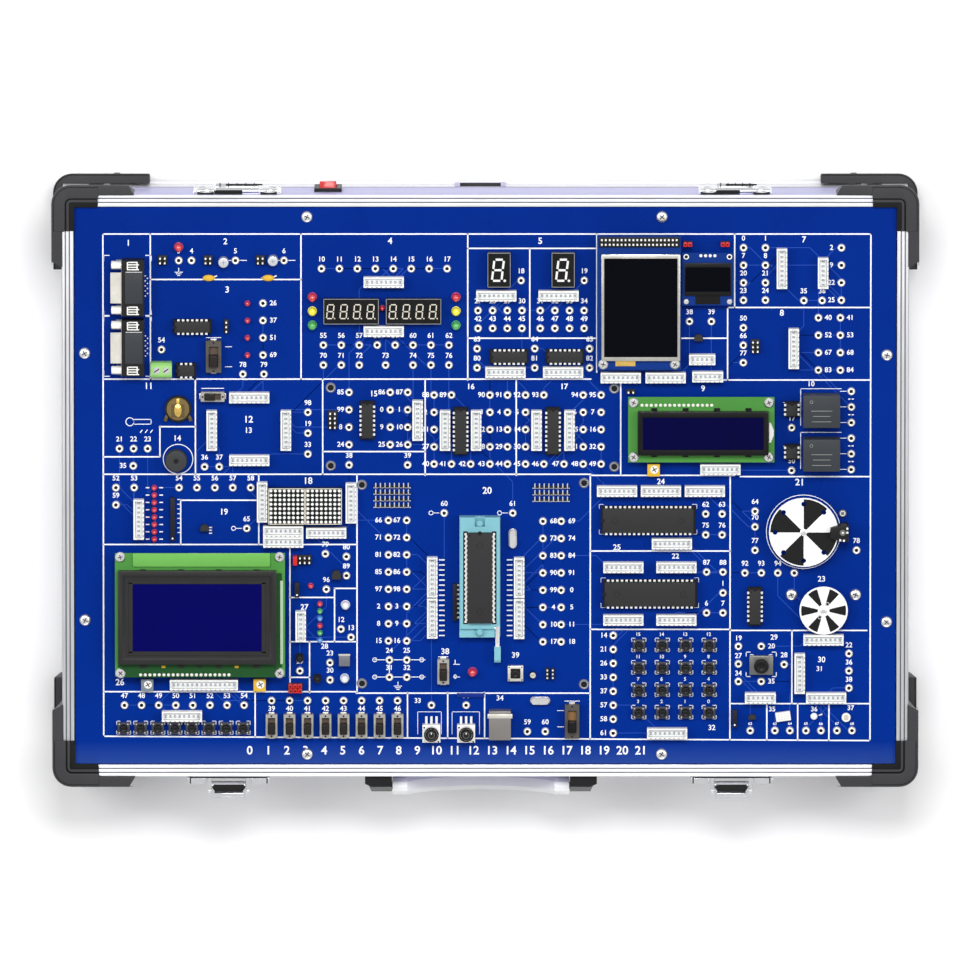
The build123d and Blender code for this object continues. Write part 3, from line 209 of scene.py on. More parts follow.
def boardFinish():
    # solder mask: deep glossy blue with the copper's faint relief and specks; painted light makes it paler towards the
    # front and deeper towards the back, and a painted reflection lightens a band along the front edge
    made = Finish("board mask")
    look = {"deep": (0, 32, 116), "mask": (0, 48, 146), "haze": (10, 62, 166), "front": (62, 92, 160)}
    cloud = made.noise(60)
    speck = made.noise(0.8, detail=2)
    x, y, z = made.axes()
    pour = made.node("ShaderNodeTexBrick", {"offset": 0.37, "squash": 1.0},
                     {"Vector": made.place(), "Color1": [0, 0, 0, 1], "Color2": [1, 1, 1, 1],
                      "Mortar": [0.5, 0.5, 0.5, 1], "Scale": 0.021, "Mortar Size": 0.012,
                      "Brick Width": 0.61, "Row Height": 0.43}, 1)
    # painted light falloff: paler towards the front, deeper towards the back
    light = made.node("ShaderNodeMapRange", None, {0: y, 1: -150.0, 2: 150.0, 3: 0.75, 4: 0.25})
    tone = made.blend(cloud * 0.5 + light * 0.5, linear(look["deep"]), linear(look["mask"]))
    tone = made.blend((speck > 0.68) * 0.35, tone, linear(look["haze"]))
    # painted reflection: a paler band along the board's front edge
    paintedFrontReflection = made.node("ShaderNodeMapRange", None, {0: y, 1: -138.0, 2: -156.0, 3: 0.0, 4: 0.6})
    return made.set(color=made.blend(paintedFrontReflection, tone, linear(look["front"])), rough=0.22 + cloud * 0.12,
                    specular=0.05, normal=made.bump(pour * 0.3 + speck * 0.15, 0.2, 0.04))


def brushedFinish(name, colour, rough):
    # drawn aluminium: the streaks run along X, and along Y on the side rails
    made = Finish(name)
    sideFrom = 223
    x, y, z = made.axes((0, caseY, 0))
    side = made.maths("ABSOLUTE", x) > sideFrom
    alongX = made.noise(0.35, (0.02, 1, 1))
    alongY = made.noise(0.35, (1, 0.02, 1))
    streak = alongX + (alongY - alongX) * side
    cloud = made.noise(30)
    base = linear(colour)
    return made.set(color=made.blend(streak * 0.6 + cloud * 0.4, tint(base, 0.82), tint(base, 1.1)),
                    rough=rough + (streak - 0.5) * 0.22 + (cloud - 0.5) * 0.1, metal=0.6,
                    normal=made.bump(streak, 0.25, 0.05))


def wedgeFinish(name, middle, count, share, turn, rim, ring):
    # black wedges on a white disc, drawn by the angle about its shaft, with a white rim line
    made = Finish(name)
    x, y, z = made.axes(middle)
    angle = made.maths("ARCTAN2", y, x) * (180 / math.pi)
    far = made.maths("SQRT", x * x + y * y)
    black = ((angle - turn + 360) % (360 / count) < (360 / count) * share) * (far < rim) * (far > ring)
    wear = made.noise(3, detail=4)
    white = made.blend(wear, linear((228, 229, 232)), linear((248, 248, 248)))
    dark = made.blend(wear, linear((7, 7, 8)), linear((18, 18, 19)))
    return made.set(color=made.blend(black, white, dark), rough=0.42 + wear * 0.15, specular=0.15,
                    normal=made.bump(wear, 0.1, 0.03))


def screenFinish(name, colour, cell, dots, gloss=0.12):
    # a dark screen: faint cells under a glossy sheet
    made = Finish(name)
    grid = made.node("ShaderNodeTexBrick", {"offset": 0.0, "squash": 1.0},
                     {"Vector": made.place(), "Color1": [1, 1, 1, 1], "Color2": [1, 1, 1, 1],
                      "Mortar": [0, 0, 0, 1], "Scale": 1.0, "Mortar Size": cell * 0.06,
                      "Brick Width": cell, "Row Height": cell})
    cloud = made.noise(25, detail=2)
    base = linear(colour)
    return made.set(color=made.blend(grid * dots, made.blend(cloud, tint(base, 0.8), tint(base, 1.15)),
                                     tint(base, 1.25, 0.001)),
                    rough=gloss + cloud * 0.06, specular=0.06)


def lampFinish(name, colour, glow):
    # tinted resin with brighter swirls at random under a clear skin, and a faint painted glow, though the parts are not
    # lit
    made = Finish(name)
    swirl = made.noise(1.6)
    base = linear(colour)
    return made.set(color=made.blend(swirl * 0.7, base, tint(base, 1.7, 0.06)), rough=0.2 + swirl * 0.1,
                    coat=0.8, coatRough=0.05, through=0.25, depth=0.0015, specular=0.6, glow=base, glowPower=glow)


finishes = {
    "board": boardFinish(),
    "rail": brushedFinish("rail aluminium", (232, 233, 238), 0.34),
    "lowerRail": brushedFinish("lower rail aluminium", (226, 226, 230), 0.36),
    "panel": surface("case sheet", (176, 174, 214), 0.4, metal=0.4, grain=0.5, dents=0.2, drift=0.1,
                     stretch=(0.05, 1, 1)),
    "guard": surface("guard plastic", (58, 58, 60), 0.42, grain=0.35, dents=0.35, drift=0.15),
    "guardDeep": surface("guard inner step", (10, 10, 11), 0.5, grain=0.35, dents=0.35, drift=0.15),
    # pale edge band and rivets of the guards: partly wear, partly a painted highlight
    "guardWearAndHighlight": surface("guard worn edge and painted highlight", (112, 113, 116), 0.36, metal=0.1, grain=0.6, dents=0.3, drift=0.35,
                         patch=5),
    "rivet": surface("rivet metal", (168, 168, 172), 0.32, metal=0.9, dents=0.3, drift=0.15, patch=2),
    "silk": surface("white ink", (240, 242, 248), 0.6, grain=0.25, dents=0.2, drift=0.06, specular=0.3,
                    patch=6),
    "trace": surface("covered copper", (26, 74, 176), 0.35, grain=0.5, dents=0.2, drift=0.2, specular=0.25),
    "tin": surface("tinned ring", (240, 238, 230), 0.3, metal=0.5, dents=0.35, drift=0.14, patch=3),
    "grayRing": surface("gray ring", (150, 152, 160), 0.34, metal=0.6, grain=0.4, dents=0.3, drift=0.14,
                        patch=3),
    # near-black stand-in for bores, slots, gaps and vents: painted shade in the openings
    "holeShade": surface("painted shade in bores and gaps", (10, 10, 12), 0.7, grain=0.4, dents=0.2, drift=0.3, specular=0.2),
    "shell": surface("connector nylon", (244, 244, 242), 0.45, grain=0.5, drift=0.05, through=0.08),
    "shellShade": surface("connector floor", (214, 216, 216), 0.55, grain=0.5, drift=0.08),
    "pin": surface("pin metal", (214, 217, 222), 0.26, metal=0.7, grain=0.25, dents=0.2, patch=2),
    "gold": surface("gold plate", (214, 178, 96), 0.28, metal=0.95, grain=0.4, dents=0.25, drift=0.16, patch=3),
    "chip": surface("chip resin", (44, 44, 45), 0.55, grain=0.22, dents=0.45, drift=0.1),
    "chipSocket": surface("chip socket plastic", (24, 24, 26), 0.5, dents=0.25, drift=0.15),
    "blackPlastic": surface("black plastic", (26, 26, 27), 0.4, dents=0.2, drift=0.15),
    "keyCap": surface("key plastic", (20, 20, 21), 0.32, dents=0.12, drift=0.15),
    "relay": surface("relay case", (54, 58, 62), 0.4, grain=0.35, drift=0.1),
    "plate": surface("pressed steel", (206, 203, 194), 0.33, metal=0.7, dents=0.3, drift=0.14, stretch=(0.3, 1,
                     1), patch=4),
    "slideBody": surface("switch frame metal", (168, 166, 160), 0.34, metal=0.5, dents=0.3, drift=0.14,
                         patch=4),
    "slotFloor": surface("switch slot", (92, 78, 68), 0.6, dents=0.2, drift=0.2),
    "creamPlastic": surface("cream plastic", (214, 208, 192), 0.45, grain=0.4, drift=0.06),
    "brownPlastic": surface("brown plastic", (140, 104, 66), 0.45, grain=0.4),
    "white": surface("white plastic", (234, 233, 230), 0.42, grain=0.4, dents=0.12, drift=0.05),
    "zif": surface("lever socket plastic", (126, 184, 196), 0.38, grain=0.35, drift=0.07, through=0.06),
    "steel": surface("bright steel", (222, 222, 222), 0.2, metal=0.9, grain=0.5, dents=0.2, patch=4),
    "chrome": surface("chromed steel", (214, 215, 218), 0.13, metal=0.9, grain=0.8, dents=0.12, patch=6),
    "darkSteel": surface("dark steel", (70, 70, 72), 0.35, metal=0.9, grain=0.5, dents=0.2, drift=0.2),
    "greenMask": surface("green mask", (74, 140, 62), 0.34, grain=0.9, dents=0.25, drift=0.1, patch=20),
    "darkGreenMask": surface("dark green mask", (26, 74, 34), 0.36, grain=0.9, dents=0.25, patch=10),
    "blueMask": surface("module mask", (2, 46, 122), 0.32, grain=0.7, dents=0.25, drift=0.1, patch=10),
    "bezel": surface("bezel steel", (47, 46, 47), 0.36, metal=0.35, dents=0.2, drift=0.1, stretch=(0.2, 1, 1)),
    "blackBezel": surface("black bezel steel", (22, 22, 23), 0.34, metal=0.3, dents=0.2, stretch=(0.2, 1, 1)),
    "tftFrame": surface("screen frame steel", (190, 188, 180), 0.25, metal=0.9, grain=0.4, dents=0.2,
                        drift=0.14, patch=6),
    "navy": screenFinish("navy screen", (0, 0, 84), 0.52, 0.3),
    "navyDark": screenFinish("dark navy screen", (0, 0, 54), 0.6, 0.3),
    "blackScreen": screenFinish("black screen", (2, 2, 10), 0.6, 0.1, 0.08),
    "digitFace": surface("display face", (17, 17, 18), 0.28, dents=0.1, drift=0.15),
    "segment": surface("unlit segment", (214, 208, 192), 0.5, drift=0.06),
    "edgePaint": surface("display edge", (150, 150, 150), 0.45, dents=0.2),
    "red": lampFinish("red lamp", (176, 10, 30), 0.12),
    "yellow": lampFinish("yellow lamp", (222, 204, 20), 0.15),
    "green": lampFinish("green lamp", (50, 150, 62), 0.1),
    "clear": lampFinish("clear lamp", (214, 222, 226), 0.02),
    "blue": lampFinish("blue lamp", (70, 130, 190), 0.05),
    "redPlastic": surface("red plastic", (196, 34, 30), 0.35, dents=0.12, drift=0.1, coat=0.3),
    "terminal": surface("terminal plastic", (148, 204, 118), 0.42, grain=0.4, drift=0.08),
    "yellowPart": surface("yellow resin", (220, 176, 58), 0.36, grain=0.4),
    "buzzer": surface("buzzer plastic", (56, 57, 58), 0.46, grain=0.25, dents=0.3, drift=0.1),
    "sleeve": surface("capacitor sleeve", (200, 204, 208), 0.3, metal=0.6, drift=0.2, patch=2),
    "grip": surface("grip plastic", (236, 237, 238), 0.45, grain=0.4, dents=0.25, drift=0.08),
    "motorCan": surface("motor can", (150, 150, 152), 0.32, metal=0.9, grain=0.5, dents=0.2, drift=0.1),
    "dcDisc": wedgeFinish("motor disc print", (174, caseY - 24.5, 0), 4, 0.5, -45, 18.3, 0.6),
    "stepDisc": wedgeFinish("stepper disc print", (185, caseY - 68, 0), 6, 0.45, -13, 12.3, 3.2),
    "grooveShade": surface("groove shade", (92, 92, 98), 0.45, metal=0.6, dents=0.2, drift=0.15),
    "keyFrame": surface("key switch frame", (64, 65, 72), 0.34, metal=0.3, dents=0.2, drift=0.16),
    "sensorBlock": surface("sensor block", (112, 114, 120), 0.38, metal=0.3, dents=0.2, drift=0.14),
    "sheet": surface("case wall sheet", (222, 222, 226), 0.4, metal=0.4, dents=0.2, drift=0.1),
    # the same drawn aluminium made darker for the side rails: painted shade
    "paintedShadeSideRail": brushedFinish("side rail aluminium with painted shade", (190, 191, 194), 0.36),
    "usbShell": surface("port shell metal", (126, 123, 120), 0.36, metal=0.4, dents=0.2, drift=0.14),
    "boardBlue": surface("blue part", (6, 40, 128), 0.4, dents=0.2, drift=0.1),
    "darkFrame": surface("dark switch frame", (84, 80, 76), 0.4, metal=0.3, dents=0.2),
    "cellBrass": surface("cell brass", (116, 98, 62), 0.34, metal=0.4, dents=0.25, drift=0.15),
    "cellShade": surface("cell shade", (92, 78, 48), 0.4, metal=0.3, dents=0.25, drift=0.15),
    "paleEdge": surface("pale strip", (176, 200, 170), 0.35, grain=0.4, drift=0.1),
    "shellFloor": surface("connector inside", (226, 228, 228), 0.5, grain=0.4, drift=0.06),
    # grey for the connectors' slots and pin wells: painted shade in the openings
    "shellSlotShade": surface("connector slot shade", (150, 152, 156), 0.5, grain=0.4, drift=0.08),
    # a brighter copy of the pin metal for leads, clips and contacts: painted highlight
    "litPin": surface("tinned contact with painted highlight", (240, 240, 236), 0.3, metal=0.3, dents=0.2, drift=0.1, patch=2),
    "stickBase": surface("joystick frame", (112, 112, 110), 0.36, metal=0.6, dents=0.25, drift=0.14),
    "lightStrip": surface("light strip", (108, 178, 82), 0.35, grain=0.4, drift=0.1, coat=0.3),
    "litSegment": surface("white segment", (236, 236, 232), 0.42, dents=0.12, drift=0.05),
    "slideKnob": surface("slide knob plastic", (34, 30, 28), 0.4, dents=0.2, drift=0.15),
    "zifShadeRing": surface("lever socket shade", (92, 150, 166), 0.45, grain=0.35, drift=0.1),
    "relayMark": surface("relay print", (150, 156, 152), 0.6, dents=0.1, drift=0.1),
    "blueTrimmer": surface("gray trimmer plastic", (120, 130, 140), 0.4, grain=0.4, drift=0.1),
}
print("finishes:", len(finishes))


# ---- shapes, all in millimetres until they are done ----
class Island:
    # one loose solid of a CAD node, in millimetres, with its box
    def __init__(self, verts, faces):
        number = {v: k for k, v in enumerate(verts)}
        self.spots = [v.co / mm for v in verts]
        self.faces = [[number[v] for v in f.verts] for f in faces]
        self.low = Vector([min(s[k] for s in self.spots) for k in range(3)])
        self.high = Vector([max(s[k] for s in self.spots) for k in range(3)])
        self.middle = (self.low + self.high) / 2
        self.size = self.high - self.low
        self.long = 0 if self.size.x > self.size.y else 1


def islandsOf(nodeName):
    whole = bmesh.new()
    whole.from_mesh(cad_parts[nodeName].data)
    bmesh.ops.remove_doubles(whole, verts=whole.verts, dist=2e-6)
    whole.verts.index_update()
    left = set(whole.verts)
    found = []
    while left:
        stack = [left.pop()]
        part = set(stack)
        while stack:
            for edge in stack.pop().link_edges:
                for vert in edge.verts:
                    if vert in left:
                        left.discard(vert)
                        part.add(vert)
                        stack.append(vert)
        faces = {f for v in part for f in v.link_faces}
        found.append(Island(sorted(part, key=lambda v: v.index), sorted(faces, key=lambda f: f.index)))
    whole.free()
    return sorted(found, key=lambda i: (round(i.middle.x, 2), round(i.middle.y, 2), round(i.low.z, 2)))


def bevelMesh(part, edge, steps=2, angle=28):
    if edge:
        sharp = [e for e in part.edges if len(e.link_faces) == 2 and e.calc_face_angle(0) > math.radians(angle)]
        bmesh.ops.bevel(part, geom=sharp, offset=edge, offset_type="OFFSET", segments=steps, profile=0.6,
                        affect="EDGES", clamp_overlap=True)


def raised(points, low, high):
    # an outline with straight walls
    part = bmesh.new()
    face = part.faces.new([part.verts.new((x, y, low)) for x, y in points])
    made = bmesh.ops.extrude_face_region(part, geom=[face])["geom"]
    bmesh.ops.translate(part, vec=(0, 0, high - low), verts=[g for g in made if isinstance(g, bmesh.types.BMVert)])
    return part


def shade(data, smooth):
    data.polygons.foreach_set("use_smooth", [True] * len(data.polygons))
    data.set_sharp_from_angle(angle=math.radians(smooth))


class Piece:
    turns = {"X": Matrix.Rotation(math.radians(90), 4, "Y"), "Y": Matrix.Rotation(math.radians(-90), 4, "X"),
             "Z": None}

    def __init__(self, name, body="case", slotName="stamp"):
        self.name = name
        self.body = body
        self.slotName = slotName
        self.whole = bpy.data.meshes.new(name)
        self.mesh = bmesh.new()
        self.finishNames = []

    def take(self, part, finish, turn=None, move=None, choose=None):
        # the small mesh joins the piece; choose(middle, normal) may give a face another finish
        if turn is not None:
            bmesh.ops.transform(part, matrix=turn, verts=part.verts)
        if move is not None:
            bmesh.ops.translate(part, vec=Vector(move), verts=part.verts)
        bmesh.ops.recalc_face_normals(part, faces=part.faces)
        for face in part.faces:
            name = (choose(face.calc_center_median(), face.normal) if choose else None) or finish
            if name not in self.finishNames:
                self.finishNames.append(name)
            face.material_index = self.finishNames.index(name)
        spare = bpy.data.meshes.new("spare")
        part.to_mesh(spare)
        part.free()
        self.mesh.from_mesh(spare)
        bpy.data.meshes.remove(spare)

    def block(self, middle, size, finish, edge=0.15, turn=0):
        # a box about its middle
        part = bmesh.new()
        bmesh.ops.create_cube(part, size=1)
        for vert in part.verts:
            vert.co = Vector([c * s for c, s in zip(vert.co, size)])
        bevelMesh(part, min(edge, min(size) * 0.4), 2 if edge > 0.12 else 1)
        self.take(part, finish, Matrix.Rotation(math.radians(turn), 4, "Z") if turn else None, middle)

    def spin(self, middle, profile, finish, sides=24, axis="Z", scale=(1, 1, 1)):
        # profile: radius and height pairs from the bottom centre outwards, up and back to the centre
        part = bmesh.new()
        rings = []
        for radius, height in profile:
            if radius < 1e-4:
                rings.append([part.verts.new((0, 0, height))])
            else:
                rings.append([part.verts.new((radius * math.cos(a) * scale[0], radius * math.sin(a) * scale[1], height))
                              for a in around(sides)])
        for low, high in zip(rings, rings[1:]):
            for k in range(sides):
                n = (k + 1) % sides
                loop = [low[k % len(low)], low[n % len(low)], high[n % len(high)], high[k % len(high)]]
                loop = list(dict.fromkeys(loop))
                if len(loop) > 2:
                    part.faces.new(loop)
        if len(rings[0]) > 1:
            # a ring's profile ends where it starts
            bmesh.ops.remove_doubles(part, verts=part.verts, dist=1e-5)
        self.take(part, finish, self.turns[axis], middle)

    def disc(self, middle, radius, height, finish, sides=24, edge=0.12, axis="Z", scale=(1, 1, 1)):
        # a short cylinder that stands on middle
        edge = min(edge, radius * 0.4, height * 0.4)
        self.spin(middle, [(0, 0), (radius - edge, 0), (radius, edge), (radius, height - edge),
                           (radius - edge, height), (0, height)], finish, sides, axis, scale)

    def tube(self, middle, outer, inner, height, finish, sides=24, edge=0.1, axis="Z"):
        edge = min(edge, (outer - inner) * 0.3, height * 0.3)
        self.spin(middle, [(inner, 0), (outer, 0), (outer, height - edge), (outer - edge, height),
                           (inner + edge, height), (inner, height - edge), (inner, 0)], finish, sides, axis)

    def plate(self, points, low, high, finish, edge=0.1):
        part = raised(points, low, high)
        bevelMesh(part, edge, 1)
        self.take(part, finish)

    def carry(self, island, finish, edge=0.15, steps=2, angle=28, choose=None, bend=None):
        # a solid of the CAD model with softened edges; bend(spot) may move its corners first
        part = bmesh.new()
        verts = [part.verts.new(bend(s) if bend else s) for s in island.spots]
        for face in island.faces:
            part.faces.new([verts[k] for k in face])
        bmesh.ops.dissolve_limit(part, angle_limit=math.radians(0.5), verts=part.verts, edges=part.edges)
        bmesh.ops.recalc_face_normals(part, faces=part.faces)
        bevelMesh(part, edge, steps, angle)
        self.take(part, finish, choose=choose)

    def bar(self, start, end, width, height, finish):
        # a thin flat line on a surface
        (x1, y1, z1), (x2, y2, z2) = start, end
        length = math.hypot(x2 - x1, y2 - y1) + width
        self.block(((x1 + x2) / 2, (y1 + y2) / 2, (z1 + z2) / 2), (length, width, height), finish, 0,
                   math.degrees(math.atan2(y2 - y1, x2 - x1)))

    def leg(self, x, y, low, high, radius):
        # a straight round wire
        self.plate([(x + radius * math.cos(a), y + radius * math.sin(a)) for a in around(8)], low, high, "pin", 0)

    def freeze(self):
        bmesh.ops.scale(self.mesh, vec=(mm, mm, mm), verts=self.mesh.verts)
        self.mesh.to_mesh(self.whole)
        self.mesh.free()
        return self.whole

    def done(self, *nodes, smooth=32):
        data = self.freeze()
        for name in self.finishNames:
            data.materials.append(finishes[name])
        shade(data, smooth)
        return settle(data, self.name, self.body, nodes)


def settle(data, name, body, nodes=()):
    piece = link(name, data)
    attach(piece, body)
    if nodes:
        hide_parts(*nodes)
    return piece


# ---- Geometry Nodes: one small stamp set on many points ----
def growStampTree():
    tree = bpy.data.node_groups.new("stamp on points", "GeometryNodeTree")
    for name, way, kind in (("Geometry", "INPUT", "Geometry"), ("Stamp", "INPUT", "Object"),
                            ("Finish", "INPUT", "Material"), ("Loose turn", "INPUT", "Float"),
                            ("Seed", "INPUT", "Int"), ("Geometry", "OUTPUT", "Geometry")):
        tree.interface.new_socket(name, in_out=way, socket_type="NodeSocket" + kind)

    def node(kind, settings=None, values=None):
        return addNode(tree, kind, settings, values).outputs

    given = node("NodeGroupInput")
    points = node("GeometryNodeMeshToPoints", None, {"Mesh": given["Geometry"]})
    stamp = node("GeometryNodeObjectInfo", None, {"Object": given["Stamp"]})
    heading = node("GeometryNodeInputNamedAttribute", {"data_type": "FLOAT_VECTOR"}, {"Name": "heading"})
    least = node("ShaderNodeMath", {"operation": "MULTIPLY"}, {0: given["Loose turn"], 1: -1.0})
    loose = node("FunctionNodeRandomValue", {"data_type": "FLOAT"},
                 {2: least[0], 3: given["Loose turn"], "Seed": given["Seed"]})
    twist = node("ShaderNodeCombineXYZ", None, {"Z": loose[1]})
    turn = node("ShaderNodeVectorMath", {"operation": "ADD"}, {0: heading["Attribute"], 1: twist[0]})
    copies = node("GeometryNodeInstanceOnPoints", None,
                  {"Points": points[0], "Instance": stamp["Geometry"], "Rotation": turn[0]})
    solid = node("GeometryNodeRealizeInstances", None, {"Geometry": copies[0]})
    painted = node("GeometryNodeSetMaterial", None, {"Geometry": solid[0], "Material": given["Finish"]})
    node("NodeGroupOutput", None, {0: painted[0]})
    return tree


stampTree = growStampTree()


def stampOn(name, spots, draw, finish, loose=0.0, seed=7, smooth=32):
    # spots: x, y, z and a turn in degrees; draw(piece) makes the stamp about the origin
    shape = Piece("stamp")
    draw(shape)
    stamp = link("stamp", shape.freeze())
    cloud = bpy.data.meshes.new(name + " points")
    cloud.from_pydata([(x * mm, y * mm, z * mm) for x, y, z, t in spots], [], [])
    heading = cloud.attributes.new("heading", "FLOAT_VECTOR", "POINT")
    heading.data.foreach_set("vector", [v for x, y, z, t in spots for v in (0, 0, math.radians(t))])
    carrier = link(name + " points", cloud)
    grower = carrier.modifiers.new("stamps", "NODES")
    grower.node_group = stampTree
    wanted = {"Stamp": stamp, "Finish": finishes[finish], "Loose turn": math.radians(loose), "Seed": seed}
    for item in stampTree.interface.items_tree:
        if item.item_type == "SOCKET" and item.in_out == "INPUT" and item.name in wanted:
            grower[item.identifier] = wanted[item.name]
    data = meshOf(carrier)
    data.name = name
    for spare in (carrier, stamp):
        bpy.data.objects.remove(spare)
    shade(data, smooth)
    return settle(data, name, "case")


def deck(x, y, z=boardTop):
    # a place on the board in the frame
    return (x, y + caseY, z)


# ---- case ----
case = {"softRail": 0.22, "softPanel": 0.3, "softChrome": 0.35, "jointAt": 39.6}
guard = {"stand": 5.5, "corner": 10.6, "capLeg": 20.1, "upperLeg": 39.8, "lowerLeg": 47.5, "slant": 3.2, "taper": 3.0}


def guardBand(outer, inner, leg, slant=0.0, square=False):
    # plan of an L about the rim's corner, between two distances out from the rim, with a rounded corner
    def cornerArc(out):
        radius = max(0.4, guard["corner"] + out - guard["stand"])
        turns = [math.radians(90) * k / 8 for k in range(9)]
        return [(out - radius + radius * math.sin(t), out - radius + radius * math.cos(t)) for t in turns]

    inside = [(inner, inner)] if square else cornerArc(inner)[::-1]
    return [(-leg, inner), (-leg + slant, outer)] + cornerArc(outer) + [(outer, -leg + slant), (inner, -leg)] + inside


def addGuard(guards, islands, sideX, sideY, upper):
    island = max((i for i in islands if i.middle.x * sideX > 0 and (i.middle.y - caseY) * sideY > 0),
                 key=lambda i: i.middle.z if upper else -i.middle.z)
    low, high = island.low.z, island.high.z

    def put(points, z0, z1, finish, edge, narrow=0.0):
        part = raised(points, z0, z1)
        for vert in part.verts:
            # the skirt draws in towards its lower end
            share = (z1 - vert.co.z) / (z1 - z0)
            for k in (0, 1):
                if vert.co[k] > 0.5:
                    vert.co[k] -= narrow * share
        bevelMesh(part, edge, 3, 24)
        for vert in part.verts:
            vert.co = Vector(((vert.co.x + rimX) * sideX, (vert.co.y + rimY) * sideY + caseY, vert.co.z))
        guards.take(part, finish)

    stand, cap, taper = guard["stand"], guard["capLeg"], guard["taper"]
    leg = guard["upperLeg"] if upper else guard["lowerLeg"]
    if upper:
        # skirt and its pale edge band, partly wear and partly a painted highlight, cap with its joint line, then the
        # stepped inner frame
        step, foot = high - rimTop, rimTop - 0.6
        put(guardBand(stand, -0.02, leg, guard["slant"], True), low, high - 0.4, "guard", 0.6, taper)
        put(guardBand(stand + 0.02, stand - 0.5, leg - 0.5, guard["slant"]), high - 1.4, high - 0.6, "guardWearAndHighlight", 0.1)
        put(guardBand(stand - 0.25, -1.9, cap), foot, high, "guard", 0.6)
        put(guardBand(4.45, 4.05, cap - 0.3), high - 0.1, high + 0.03, "guardDeep", 0)
        put(guardBand(-1.7, -6.9, cap - 0.2), foot, rimTop + step * 0.3, "guardDeep", 0.15)
        put(guardBand(-2.7, -4.1, cap - 0.2), foot, rimTop + step * 0.7, "guard", 0.3)
    else:
        put(guardBand(stand, -0.02, leg, 0, True), 0.35, high, "guard", 0.6, taper)
        put(guardBand(stand - 0.6, stand - 1.1, leg - 0.6), high - 0.1, high + 0.03, "guardDeep", 0)
        put(guardBand(stand - taper - 0.1, -5.0, leg), low, 2.4, "guard", 0.4)
    # a rivet on each leg
    z = (low + high) / 2 - 1.0
    reach, out = leg * 0.62, stand - taper * 0.5 - 0.3
    head = [(0, 0), (2.1, 0), (2.0, 0.5), (1.4, 0.95), (0, 1.1)]
    for dx, dy, axis, side in ((-reach, out, "Y", sideY), (out, -reach, "X", sideX)):
        guards.spin(((rimX + dx) * sideX, (rimY + dy) * sideY + caseY, z), [(r, h * side) for r, h in head],
                    "guardWearAndHighlight", 20, axis)


def buildGuards():
    islands = islandsOf("corner_guards")
    guards = Piece("corner_guard_set", slotName="guard")
    for sideX, sideY in fourWays:
        for upper in (True, False):
            addGuard(guards, islands, sideX, sideY, upper)
    guards.done("corner_guards", smooth=38)


def buildCase():
    rails = Piece("rim_and_foot_rails", slotName="rail")
    for island in islandsOf("case_rails"):
        upper = island.high.z > rimTop - 1
        # rails along Y take the darker copy of the rail aluminium, painted shade
        along = "rail" if island.long == 0 else "paintedShadeSideRail"

        def railFace(middle, normal):
            # floors of the grooves in the rim's top are painted darker, painted shade
            if normal.z > 0.9 and rimTop - 1 < middle.z < rimTop - 0.1:
                return "grooveShade"
            outside = abs(middle.x) > rimX - 0.2 or abs(middle.y - caseY) > rimY - 0.2
            return "panel" if upper and abs(normal.z) < 0.3 and outside else None
        rails.carry(island, along if upper else "lowerRail", case["softRail"], choose=railFace)
    for sideY in (-1, 1):
        # painted shadow line: a dark strip under the upper skirt where its shade falls on the sheet
        rails.block((0, caseY + sideY * 160.0, case["jointAt"]), (462, 0.7, 1.3), "grooveShade", 0.1)
    rails.done("case_rails")

    panels = Piece("wall_and_floor_sheets", slotName="case_panel")
    for island in islandsOf("case_panels"):
        panels.carry(island, "sheet", case["softPanel"], 1)
    panels.done("case_panels")
    buildGuards()

    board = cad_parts["circuit_board"]
    board.data.materials.clear()
    board.data.materials.append(finishes["board"])
    print("case done")


# ---- hardware on the walls ----
panHead = {"radius": 3.25, "height": 2.2, "recess": 0.16}


def drawPanHead(piece):
    r, h = panHead["radius"], panHead["height"]
    piece.spin((0, 0, 0), [(0, 0), (r, 0), (r, h * 0.3), (r * 0.93, h * 0.62), (r * 0.75, h * 0.87),
                           (r * 0.45, h * 0.98), (0, h)], "steel", 28)


def smallScrew(radius, height):
    def draw(piece):
        piece.spin((0, 0, 0), [(0, 0), (radius, 0), (radius, height * 0.5), (radius * 0.8, height * 0.85), (0, height)],
                   "steel", 20)
    return draw


def smallCross(length, width, height, turn, edge=0.05):
    # a cross of dark bars standing for the screw's recess: painted shade
    def draw(piece):
        for more in (0, 90):
            piece.block((0, 0, 0), (length, width, height), "darkSteel", edge, turn + more)
    return draw


def bracketSlope(spot):
    # the bracket's nose slopes away from the rim
    if spot.y < frontFace - 6 and spot.z > 60:
        return Vector((spot.x, frontFace - 6.2, spot.z))
    return spot


def addLatchPlate(parts, island):
    # folded flange along the plate's top and sides, with a dark gap by the wall and dark lines at the flange's ends,
    # both painted shade, and four rivets
    x, top, low = island.middle.x, island.high.z, island.low.z
    half = island.size.x / 2
    swing = 12.6  # the top flange is open in the middle, where the lever's corner swings past
    parts.block((x, frontFace - 0.7, top + 0.05), (2 * half - 3, 0.7, 1.0), "holeShade", 0.1)
    for side in (-1, 1):
        parts.block((x + side * (half + swing) / 2, frontFace - 2.6, top - 0.1), (half - swing, 3.4, 1.2), "chrome",
                    0.3)
        parts.block((x + side * (half - 1.5), frontFace - 2.4, top + 0.45), (0.7, 3.2, 0.2), "holeShade", 0.04)
        parts.block((x + side * (half - 0.6), frontFace - 2.6, (top + low) / 2), (1.2, 3.4, top - low - 1), "chrome",
                    0.3)
        for z in (low + 6, top - 6):
            parts.spin((x + side * (half - 4.5), frontFace - 1.0, z), [(0, 0), (1.9, 0), (1.7, -0.7), (0, -1.1)],
                       "rivet", 20, "Y")


